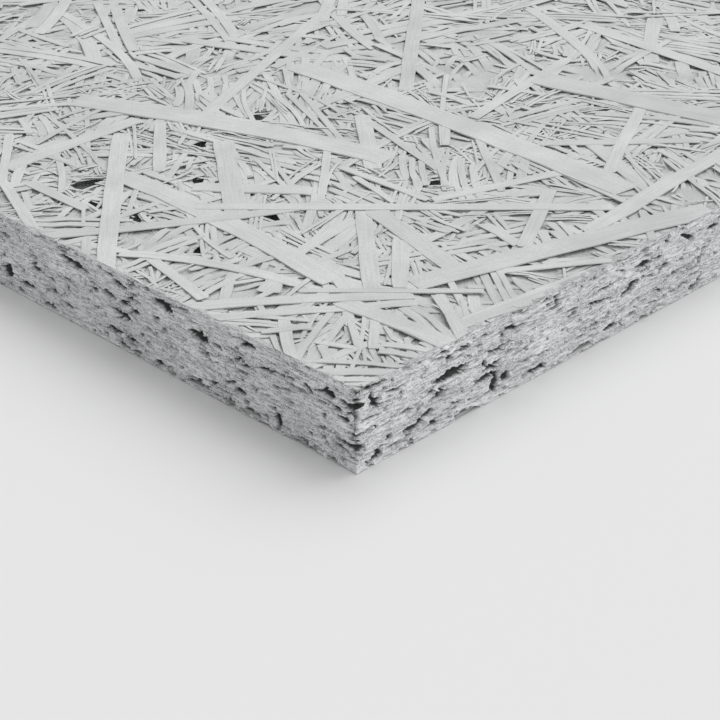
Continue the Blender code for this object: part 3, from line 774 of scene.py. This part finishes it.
    def worn_corners(self, s, z, back):
        """The depths, once bits have broken off the upright corners above their foot."""
        to_corner = np.minimum.reduce([np.abs(s[:, :1] - corner) for corner in self.corners()])
        chips = self.grain(s / (4 * MM) + np.where(s < 0, 77, 27), z / (1.6 * MM) + 31) + 0.3
        chips = np.maximum(chips, 0) * share(z, 1.5 * MM, 6 * MM) * (1 - share(to_corner, 0, 3.5 * MM))
        back = back + (1.2 + np.where(s < 0, 2.4, 0.4) * share(z, 13 * MM, 21 * MM)) * MM * chips
        at_foot = (1 - share(to_corner, 0, 3 * MM)) * (1 - share(z, 0, 2.5 * MM))
        back = back * (1 - 0.85 * at_foot)
        give = np.where(back > 1.1 * MM, 2.6, 0.6) * MM
        return np.minimum(back, to_corner + give)

    def mitre(self, stations, s, reach):
        """Joins the sides at each corner: how far points reach in, off the last side and the next."""
        off_last, off_next = reach.copy(), reach.copy()
        for corner in self.corners()[1:-1]:
            turn = int(np.searchsorted(stations, corner))
            if 0 < turn < len(stations):
                last, following = reach[turn - 1].copy(), reach[turn].copy()
                off_next[:turn], off_last[turn:] = following, last
                at_ridge = corner - s[:turn] < following
                reach[:turn] = np.where(at_ridge, last, reach[:turn])
                at_ridge = s[turn:] - corner < last
                reach[turn:] = np.where(at_ridge, following, reach[turn:])
        return reach, off_last, off_next

    def beam(self, stations, rows):
        """A closed beam with this sawn edge as its outer side, and a rough rim along both faces."""
        loop = np.array(beam_profile(self.height, rows))
        mesh, column, row = tube_grid(len(stations), len(loop))
        shape = (len(stations), len(loop))
        s = np.broadcast_to(stations[:, None], shape)
        inset, z = (np.broadcast_to(values, shape) for values in loop.T)
        back, tone = self.sample(s, z)
        z = self.worn_rims(s, z, inset)
        back = self.worn_corners(s, z, back)
        tone = tone + (0.5 - tone) * share(inset, 0, 0.3 * MM)
        nearest_row = np.where(z[0] > self.height / 2, 0, rows - 1)
        at_wall = back[:, nearest_row] * (1 - share(inset, *self.RIM_WEAR_END))
        reach = np.where(inset > 0, (at_wall**4 + inset**4) ** 0.25, back)
        reach, off_last, off_next = self.mitre(stations, s, reach)
        x, y = self.on_outline(*(values.ravel() for values in (s, reach, off_last, off_next)))
        places = np.column_stack((x, y, z.ravel())).reshape(*shape, 3)
        mesh.vertices.foreach_set("co", places[column, row].ravel())
        corner_rows = row[[v for face in mesh.polygons for v in face.vertices]].reshape(-1, 4)
        mesh.polygons.foreach_set("material_index", (corner_rows >= rows).any(axis=1).astype(int))
        # The material paints shade where this depth mark is large, inside the voids
        add_marks(mesh, depth=(reach - inset)[column, row], tone=tone[column, row])
        bm = bmesh.new()
        bm.from_mesh(mesh)
        bpy.data.meshes.remove(mesh)
        seam = [vert for vert, place in zip(bm.verts, row) if place == 0]
        bmesh.ops.remove_doubles(bm, verts=seam, dist=WELD)
        bmesh.ops.holes_fill(bm, edges=[e for e in bm.edges if e.is_boundary], sides=0)
        bmesh.ops.remove_doubles(bm, verts=bm.verts, dist=WELD)
        return bm

    def corners(self):
        length, width = HIGH[0] - LOW[0], HIGH[1] - LOW[1]
        return (-length - width, -width, 0, length, length + width)


def tube_grid(columns, rows):
    """A flat grid to be rolled into a tube, and the column and row of each of its points."""
    bm = bmesh.new()
    bmesh.ops.create_grid(bm, x_segments=columns - 1, y_segments=rows, size=1)
    mesh = bpy.data.meshes.new("tube")
    bm.to_mesh(mesh)
    bm.free()
    grid = np.empty(len(mesh.vertices) * 3)
    mesh.vertices.foreach_get("co", grid)
    grid = grid.reshape(-1, 3)
    column = np.rint((grid[:, 0] + 1) / 2 * (columns - 1)).astype(int)
    row = np.rint((grid[:, 1] + 1) / 2 * rows).astype(int) % rows
    return mesh, column, row


def beam_profile(height, rows):
    """Inset and height of the points round a beam: down its outer side, and back round the inside."""
    top, bottom = height - 0.6 * MM, 0.5 * MM
    loop = [(0, z) for z in np.linspace(top, 0.12 * MM, rows)]
    rim = (0.3, 0.0), (0.7, 0.02), (1.1, 0.05), (1.5, 0.1), (2.0, 0.2), (2.6, 0.4), (3.4, 0.6)
    rim += ((4.5, 0.8), (8, 0.8), (13, 0.8))
    loop += [(inset * MM, bottom + drop * MM) for inset, drop in rim]
    loop += [(inset * MM, top - drop * MM) for inset, drop in reversed(rim)]
    return loop


# The inside: cells along each side, how far it stays off the sawn edges, how much its points crowd
# towards the front left corner, and its depth below the faces and the waves in it, in millimetres
INSIDE_CELLS = 120
INSIDE_MARGIN = 9 * MM
CORNER_CROWDING = 1.6
INSIDE_DEPTH = 1.4
INSIDE_WAVE = 0.15
# The camera looks into a pit at a slant, so its floor lies this far behind it and reaches this much
# beyond its outline, in millimetres
PIT_SHIFT = 2.5
PIT_REACH = 4


def sorting_place(face):
    """A number that puts faces in order from the bottom up, then to the back, then to the right."""
    middle = face.calc_center_median()
    return middle.x + 1e3 * middle.y + 1e6 * middle.z


def inside_bmesh():
    """The body of the board between its beams, with the rough layers that show between strands."""
    bm = bmesh.new()
    # The material paints shade where this depth mark is large, in the gaps and pits
    depth = bm.verts.layers.float.new("depth")
    bmesh.ops.create_grid(bm, x_segments=INSIDE_CELLS, y_segments=INSIDE_CELLS, size=1)
    for vert in bm.verts:
        for side in (0, 1):
            low, high = LOW[side] + INSIDE_MARGIN, HIGH[side] - INSIDE_MARGIN
            vert.co[side] = low + (high - low) * ((vert.co[side] + 1) / 2) ** CORNER_CROWDING
    lower = bm.verts[:]
    raised = bmesh.ops.extrude_face_region(bm, geom=bm.faces[:])["geom"]
    upper = [v for v in raised if isinstance(v, bmesh.types.BMVert)]
    relief = SmoothNoise(17)
    for verts, plane, inward in ((upper, HIGH[2], -1), (lower, LOW[2], 1)):
        for vert in verts:
            wave = relief(vert.co.x / (9 * MM), vert.co.y / (9 * MM) + plane / MM)
            vert[depth] = (INSIDE_DEPTH + INSIDE_WAVE * float(wave)) * MM
            vert.co.z = plane + inward * vert[depth]
    for x_mm, y_mm, width, length in CORNER_PITS:
        x, y = from_corner(x_mm + PIT_SHIFT, y_mm + PIT_SHIFT)
        reach = (PIT_REACH + (width + length) / 4) * MM
        for vert in upper:
            if math.hypot(vert.co.x - x, vert.co.y - y) < reach:
                vert.co.z = HIGH[2] - PIT_DEPTH
                vert[depth] = PIT_DEPTH
    # The extrusion leaves its faces in another order each time
    bm.faces.sort(key=sorting_place)
    return bm


def evenly(start, end, step):
    """Places from start to end, about a step apart."""
    number = int(round((end - start) / step)) + 1
    return np.linspace(start, end, number)


def new_group(name, inputs, outputs):
    """An empty shader node group with these sockets: (name, type, default)."""
    group = bpy.data.node_groups.new(name, "ShaderNodeTree")
    for socket, kind, default in inputs:
        made = group.interface.new_socket(socket, in_out="INPUT", socket_type=kind)
        if default is not None:
            made.default_value = default
    for socket, kind in outputs:
        group.interface.new_socket(socket, in_out="OUTPUT", socket_type=kind)
    source = group.nodes.new("NodeGroupInput")
    result = group.nodes.new("NodeGroupOutput")
    return group, source, result


def add_node(tree, kind, links=(), **values):
    """Adds a node, sets its properties or inputs by name, and links (input, socket) pairs into it."""
    node = tree.nodes.new(kind)
    for key, value in values.items():
        if hasattr(node, key):
            setattr(node, key, value)
        else:
            node.inputs[key.replace("_", " ")].default_value = value
    for target, socket in links:
        tree.links.new(socket, node.inputs[target])
    return node


def noise(tree, vector, scale, detail=2.0, roughness=0.5, distortion=0.0):
    return add_node(
        tree, "ShaderNodeTexNoise", [("Vector", vector)],
        Scale=scale, Detail=detail, Roughness=roughness, Distortion=distortion,
    ).outputs["Fac"]


def math_node(tree, operation, first, second):
    """The output of a Math node. Each of the two values is a socket or a number."""
    node = tree.nodes.new("ShaderNodeMath")
    node.operation = operation
    for target, value in zip(node.inputs, (first, second)):
        if isinstance(value, bpy.types.NodeSocket):
            tree.links.new(value, target)
        else:
            target.default_value = value
    return node.outputs[0]


def spread(tree, value, start, end, low=0.0, high=1.0):
    """The value mapped from start..end to low..high, and kept between them."""
    node = add_node(tree, "ShaderNodeMapRange", [("Value", value)])
    for name, number in (("From Min", start), ("From Max", end), ("To Min", low), ("To Max", high)):
        node.inputs[name].default_value = number
    return node.outputs[0]


def mix_colours(tree, factor, first, second, blend="MIX"):
    """Mixes two colours. The factor and each colour is a socket or a value."""
    node = add_node(tree, "ShaderNodeMix", data_type="RGBA", blend_type=blend)
    for index, value in ((0, factor), (6, first), (7, second)):
        if isinstance(value, bpy.types.NodeSocket):
            tree.links.new(value, node.inputs[index])
        else:
            node.inputs[index].default_value = value
    return node.outputs[2]


def cement_group():
    """Cement over wood: mottling from pale to dark, specks, pores darkened with painted shade, and
    painted shade that darkens it where it lies deep.
    """
    group, source, result = new_group(
        "Cement Coat",
        [
            ("Pale", "NodeSocketColor", (0.66, 0.675, 0.67, 1)),
            ("Dark", "NodeSocketColor", (0.55, 0.565, 0.56, 1)),
            ("Painted Shade", "NodeSocketColor", (0.42, 0.425, 0.42, 1)),
            ("Tone Contrast", "NodeSocketFloat", 0.1),
            ("Depth Start", "NodeSocketFloat", 0.0007),
            ("Depth End", "NodeSocketFloat", 0.0024),
            ("Shaded Pores", "NodeSocketFloat", 0.0),
            ("Layer Lines", "NodeSocketFloat", 0.0),
        ],
        [("Color", "NodeSocketColor"), ("Height", "NodeSocketFloat")],
    )
    place = group.nodes.new("ShaderNodeTexCoord").outputs["Object"]
    tone = add_node(group, "ShaderNodeAttribute", attribute_name="tone").outputs["Fac"]
    depth = add_node(group, "ShaderNodeAttribute", attribute_name="depth").outputs["Fac"]
    grains = noise(group, place, 1900, 2.0, 0.6)
    patches = noise(group, place, 60, 3.0)
    mottle = spread(group, math_node(group, "MULTIPLY", grains, patches), 0.14, 0.36)
    coat = mix_colours(group, mottle, source.outputs["Dark"], source.outputs["Pale"])
    contrast = math_node(group, "MULTIPLY", tone, source.outputs["Tone Contrast"])
    lightness = math_node(group, "SUBTRACT", 1.0, contrast)
    coat = mix_colours(group, 1.0, coat, lightness, "MULTIPLY")
    # Painted shade: near-black specks stand for the shade inside the pores; the same specks dent the bump
    shaded_pores = spread(group, noise(group, place, 2900, 1.0), 0.40, 0.33)
    pore_shade_strength = spread(group, tone, 0.1, 0.7, 0.35, 1.0)
    pore_shade_strength = math_node(group, "MULTIPLY", pore_shade_strength, source.outputs["Shaded Pores"])
    shaded_pores = math_node(group, "MULTIPLY", shaded_pores, pore_shade_strength)
    coat = mix_colours(group, shaded_pores, coat, (0.16, 0.16, 0.16, 1))
    flattened = add_node(group, "ShaderNodeMapping", [("Vector", place)])
    flattened.inputs["Scale"].default_value = (300, 300, 2300)
    lines = spread(group, noise(group, flattened.outputs[0], 1.0, 2.0), 0.5, 0.32)
    lines = math_node(group, "MULTIPLY", lines, source.outputs["Layer Lines"])
    coat = mix_colours(group, lines, coat, (0.16, 0.16, 0.16, 1))
    # Painted shade: the colour turns towards the shade colour as the depth below the face grows from
    # Depth Start to Depth End
    painted_shade = add_node(
        group, "ShaderNodeMapRange",
        [
            ("Value", depth),
            ("From Min", source.outputs["Depth Start"]),
            ("From Max", source.outputs["Depth End"]),
        ],
    ).outputs[0]
    coat = mix_colours(group, painted_shade, coat, source.outputs["Painted Shade"])
    group.links.new(coat, result.inputs["Color"])
    height = math_node(group, "SUBTRACT", math_node(group, "SUBTRACT", grains, shaded_pores), lines)
    group.links.new(height, result.inputs["Height"])
    return group


def streak_group():
    """Grain along a strand, from its UV map in metres: a value round 1 to multiply the colour with."""
    group, source, result = new_group(
        "Wood Streaks", [("Strength", "NodeSocketFloat", 0.06)], [("Factor", "NodeSocketFloat")]
    )
    uv = add_node(group, "ShaderNodeUVMap", uv_map="strand").outputs["UV"]
    stretched = add_node(group, "ShaderNodeMapping", [("Vector", uv)])
    stretched.inputs["Scale"].default_value = (60, 1400, 1)
    streaks = noise(group, stretched.outputs[0], 1.0, 2.0)
    strength = spread(group, streaks, 0.3, 0.6, 1, 0)
    strength = math_node(group, "MULTIPLY", strength, source.outputs["Strength"])
    group.links.new(math_node(group, "SUBTRACT", 1.0, strength), result.inputs["Factor"])
    return group


def wood_wool_material(name, values, bump_height, streaks):
    """Matt cement-coated wood. The values go into the inputs of the Cement Coat group."""
    material = bpy.data.materials.new(name)
    material.use_nodes = True
    tree = material.node_tree
    shader = tree.nodes["Principled BSDF"]
    coat = tree.nodes.new("ShaderNodeGroup")
    coat.node_tree = bpy.data.node_groups.get("Cement Coat") or cement_group()
    for socket, value in values.items():
        coat.inputs[socket].default_value = value
    colour = coat.outputs["Color"]
    if streaks:
        wood = tree.nodes.new("ShaderNodeGroup")
        wood.node_tree = bpy.data.node_groups.get("Wood Streaks") or streak_group()
        wood.inputs["Strength"].default_value = streaks
        colour = mix_colours(tree, 1.0, colour, wood.outputs["Factor"], "MULTIPLY")
    tree.links.new(colour, shader.inputs["Base Color"])
    bump = add_node(tree, "ShaderNodeBump", [("Height", coat.outputs["Height"])])
    bump.inputs["Strength"].default_value = 1.0
    bump.inputs["Distance"].default_value = bump_height
    tree.links.new(bump.outputs["Normal"], shader.inputs["Normal"])
    shader.inputs["Roughness"].default_value = 0.92
    shader.inputs["Specular IOR Level"].default_value = 0.25
    return material


def swatch(name, description, red, green, blue):
    """A colour that a user can change."""
    return FloatVectorProperty(
        name=name, description=description, default=(red, green, blue, 1),
        size=4, subtype="COLOR", min=0, max=1,
    )


def count(name, description, default):
    """A number of things, or a seed, that a user can change."""
    return IntProperty(name=name, description=description, default=default, min=0)


class WoodWoolStrandSettings(bpy.types.PropertyGroup):
    thickness: FloatProperty(
        name="Strand Thickness", description="Thickness of a strand with its cement",
        default=0.29 * MM, min=0.1 * MM, max=1 * MM, unit="LENGTH", precision=5,
    )
    seed: count("Seed", "Another number lays other strands", 7)


class WoodWoolCoreSettings(bpy.types.PropertyGroup):
    strands: count("Cut Strands", "Strands that show in the sawn edges", 16000)
    voids: count("Voids", "Voids in the sawn edges away from the front left corner", 430)
    pits: count("Pits", "Small pits in the sawn edges", 3000)
    fissures: count("Fissures", "Narrow gaps between layers in the sawn edges", 2300)
    seed: count("Seed", "Another number places other voids", 5)


class WoodWoolFinishSettings(bpy.types.PropertyGroup):
    pale: swatch("Pale Cement", "Cement on the outermost strands", 0.69, 0.705, 0.7)
    dark: swatch("Dark Cement", "Thin cement in the mottling", 0.58, 0.595, 0.59)
    sawn_pale: swatch("Pale Sawn Edge", "Cement on the sawn edges", 0.965, 0.98, 0.995)
    sawn_dark: swatch("Dark Sawn Edge", "Thin cement and bare wood on the sawn edges", 0.82, 0.83, 0.845)
    # Painted shade: the colour that the sawn edges darken to inside their voids
    painted_void_shade: swatch("Painted Void Shade", "Painted shade inside the voids in the sawn edges", 0.13, 0.13, 0.13)
    worn: swatch("Worn Rim", "Cement on the worn rims of the sawn edges, and inside", 0.6, 0.61, 0.61)
    worn_dark: swatch("Dark Worn Rim", "Thin cement on the worn rims, and inside", 0.47, 0.48, 0.48)
    # Painted shade: the colour that strands and the inside darken to where they lie deep in the gaps and
    # pits
    painted_gap_shade: swatch("Painted Gap Shade", "Painted shade at the bottom of the gaps", 0.42, 0.425, 0.42)


class WoodWoolStageSettings(bpy.types.PropertyGroup):
    lens: FloatProperty(
        name="Lens", description="Focal length on a 36 mm sensor", default=87.6, unit="CAMERA"
    )
    floor: swatch("Floor", "Colour of the floor", 0.765, 0.765, 0.765)


class MESH_OT_wood_wool_core(bpy.types.Operator):
    """Adds the sawn edges with their voids, and the inside of the board"""

    bl_idname = "mesh.wood_wool_core"
    bl_label = "Sawn Core"

    def execute(self, context):
        scene = context.scene
        edge = SawnEdge(scene.wood_wool_core)
        materials = [sawn_material(scene), inner_material(scene)]
        half_way = (HIGH[0] - LOW[0]) + (HIGH[1] - LOW[1])
        for name, start, end, step, rows in (
            ("sawn_edge_near", -SEEN_EDGE, SEEN_EDGE, NEAR_STEP, NEAR_ROWS),
            ("sawn_edge_left", -half_way, -SEEN_EDGE, FAR_STEP, FAR_ROWS),
            ("sawn_edge_right", SEEN_EDGE, half_way, FAR_STEP, FAR_ROWS),
        ):
            finish_piece(name, edge.beam(evenly(start, end, step), rows), materials, SAWN_CREASE)
        finish_piece("inside", inside_bmesh(), materials[1:], INSIDE_CREASE)
        return {"FINISHED"}


class MESH_OT_wood_wool_top(bpy.types.Operator):
    """Adds the strands of the top face"""

    bl_idname = "mesh.wood_wool_top"
    bl_label = "Top Strands"

    def execute(self, context):
        scene = context.scene
        settings = scene.wood_wool_strands
        face = Face(settings.seed, settings.thickness)
        lay_listed(face)
        open_pits(face)
        regions = top_regions(face)
        for region, counts, least_seen, goal in TOP_FILL:
            face.coarseness = UNSEEN_COARSENESS if region == "unseen" else 1.0
            lay_random(face, regions[region], counts, least_seen, goal)
        add_strand_pieces(face, "top", HIGH[2], -1, strand_material(scene))
        return {"FINISHED"}


class MESH_OT_wood_wool_underside(bpy.types.Operator):
    """Adds the strands of the underside"""

    bl_idname = "mesh.wood_wool_underside"
    bl_label = "Underside Strands"

    def execute(self, context):
        scene = context.scene
        settings = scene.wood_wool_strands
        face = Face(settings.seed + 1, settings.thickness)
        face.coarseness = UNDERSIDE_COARSENESS
        lay_random(face, np.ones(face.roof.shape, bool), *UNDERSIDE_FILL)
        add_strand_pieces(face, "underside", LOW[2], 1, strand_material(scene))
        return {"FINISHED"}


class SCENE_OT_wood_wool_stage(bpy.types.Operator):
    """Adds the floor, the light and the camera"""

    bl_idname = "scene.wood_wool_stage"
    bl_label = "Stage"

    def execute(self, context):
        scene = context.scene
        settings = scene.wood_wool_stage
        add_floor(settings)
        add_light(scene)
        add_camera(scene, settings)
        scene.view_settings.view_transform = "Standard"
        return {"FINISHED"}


def strand_material(scene):
    made = bpy.data.materials.get("wood_wool_strand")
    if made:
        return made
    finish = scene.wood_wool_finish
    # Painted shade darkens the strands from 0.7 mm to 2.4 mm below the face
    values = {
        "Pale": finish.pale, "Dark": finish.dark, "Painted Shade": finish.painted_gap_shade, "Tone Contrast": 0.10,
        "Depth Start": 0.7 * MM, "Depth End": 2.4 * MM, "Shaded Pores": 0.0, "Layer Lines": 0.0,
    }
    return wood_wool_material("wood_wool_strand", values, 0.08 * MM, 0.10)


def inner_material(scene):
    """The worn rims of the sawn edges, and the inside of the board, which shows at the bottom of pits."""
    finish = scene.wood_wool_finish
    # Painted shade darkens the inside from 1.5 mm to 2.9 mm deep, fully in the pits, and in its pores
    values = {
        "Pale": finish.worn, "Dark": finish.worn_dark, "Painted Shade": finish.painted_gap_shade,
        "Tone Contrast": 0.10, "Depth Start": 1.5 * MM, "Depth End": 2.9 * MM, "Shaded Pores": 0.6,
        "Layer Lines": 0.0,
    }
    return wood_wool_material("inner_wood_wool", values, 0.2 * MM, 0.0)


def sawn_material(scene):
    finish = scene.wood_wool_finish
    # Painted shade darkens the voids from 0.7 mm to 1.5 mm deep, and the pores
    values = {
        "Pale": finish.sawn_pale, "Dark": finish.sawn_dark, "Painted Shade": finish.painted_void_shade,
        "Tone Contrast": 0.25, "Depth Start": 0.7 * MM, "Depth End": 1.5 * MM, "Shaded Pores": 0.85,
        "Layer Lines": 0.55,
    }
    return wood_wool_material("sawn_wood_wool", values, 0.25 * MM, 0.0)


# How far the floor reaches from the middle each way, in metres
FLOOR_REACH = 6


def add_floor(settings):
    bm = bmesh.new()
    bmesh.ops.create_grid(bm, x_segments=1, y_segments=1, size=FLOOR_REACH)
    mesh = bpy.data.meshes.new("floor")
    bm.to_mesh(mesh)
    bm.free()
    material = bpy.data.materials.new("floor")
    material.use_nodes = True
    shader = material.node_tree.nodes["Principled BSDF"]
    shader.inputs["Base Color"].default_value = settings.floor
    shader.inputs["Roughness"].default_value = 0.9
    mesh.materials.append(material)
    add_object("floor", mesh)


def add_light(scene):
    world = bpy.data.worlds.new("studio")
    world.use_nodes = True
    world.node_tree.nodes["Background"].inputs["Color"].default_value = (1, 1, 1, 1)
    world.node_tree.nodes["Background"].inputs["Strength"].default_value = 0.5
    scene.world = world
    for name, energy, towards_lamp in (
        ("key", 1.64, Vector((0.6, 0.1, 0.75))),
        ("fill", 0.66, Vector((0.05, -0.75, 0.55))),
    ):
        light = bpy.data.lights.new(name, "SUN")
        light.energy = energy
        light.angle = math.radians(60)
        lamp = add_object(name, light)
        lamp.rotation_euler = towards_lamp.to_track_quat("Z", "Y").to_euler()


# The camera looks along +X and +Y, down at the front left corner. CORNER_PIXEL is where that corner's
# top lies in a picture of 720 x 720 pixels.
CAMERA_AZIMUTH = math.radians(45.25)
CAMERA_ELEVATION = math.radians(28.85)
CORNER_DISTANCE = 428 * MM
CORNER_PIXEL = (356.7, 388.6)
PICTURE = 720
SENSOR = 36


def add_camera(scene, settings):
    flat = math.cos(CAMERA_ELEVATION)
    ahead = Vector(
        (
            math.sin(CAMERA_AZIMUTH) * flat,
            math.cos(CAMERA_AZIMUTH) * flat,
            -math.sin(CAMERA_ELEVATION),
        )
    )
    right = ahead.cross(Vector((0, 0, 1))).normalized()
    up = right.cross(ahead)
    per_pixel = SENSOR / settings.lens / PICTURE * CORNER_DISTANCE
    corner = Vector((LOW[0], LOW[1], HIGH[2]))
    place = (
        corner
        - ahead * CORNER_DISTANCE
        - right * (CORNER_PIXEL[0] - PICTURE / 2) * per_pixel
        + up * (CORNER_PIXEL[1] - PICTURE / 2) * per_pixel
    )
    data = bpy.data.cameras.new("camera")
    data.lens = settings.lens
    data.sensor_width = SENSOR
    data.clip_start = 0.01
    camera = add_object("camera", data)
    turn = Matrix((right, up, -ahead)).transposed()
    camera.matrix_world = Matrix.Translation(place) @ turn.to_4x4()
    scene.camera = camera


class VIEW3D_PT_wood_wool(bpy.types.Panel):
    bl_label = "Wood Wool Board"
    bl_idname = "VIEW3D_PT_wood_wool"
    bl_space_type = "VIEW_3D"
    bl_region_type = "UI"
    bl_category = "Wood Wool"

    def draw(self, context):
        layout = self.layout
        scene = context.scene
        for settings, operator in (
            (scene.wood_wool_core, "mesh.wood_wool_core"),
            (scene.wood_wool_strands, "mesh.wood_wool_top"),
            (scene.wood_wool_finish, "mesh.wood_wool_underside"),
            (scene.wood_wool_stage, "scene.wood_wool_stage"),
        ):
            for prop in settings.__annotations__:
                layout.prop(settings, prop)
            layout.operator(operator)


SETTINGS = {
    "wood_wool_strands": WoodWoolStrandSettings,
    "wood_wool_core": WoodWoolCoreSettings,
    "wood_wool_finish": WoodWoolFinishSettings,
    "wood_wool_stage": WoodWoolStageSettings,
}
CLASSES = (
    *SETTINGS.values(),
    MESH_OT_wood_wool_core,
    MESH_OT_wood_wool_top,
    MESH_OT_wood_wool_underside,
    SCENE_OT_wood_wool_stage,
    VIEW3D_PT_wood_wool,
)


def register():
    for cls in CLASSES:
        bpy.utils.register_class(cls)
    for name, group in SETTINGS.items():
        setattr(bpy.types.Scene, name, PointerProperty(type=group))


def unregister():
    for name in SETTINGS:
        delattr(bpy.types.Scene, name)
    for cls in reversed(CLASSES):
        bpy.utils.unregister_class(cls)


def main():
    register()
    bpy.ops.scene.wood_wool_stage()
    bpy.ops.mesh.wood_wool_core()
    bpy.ops.mesh.wood_wool_top()
    bpy.ops.mesh.wood_wool_underside()


if __name__ == "__main__":
    main()
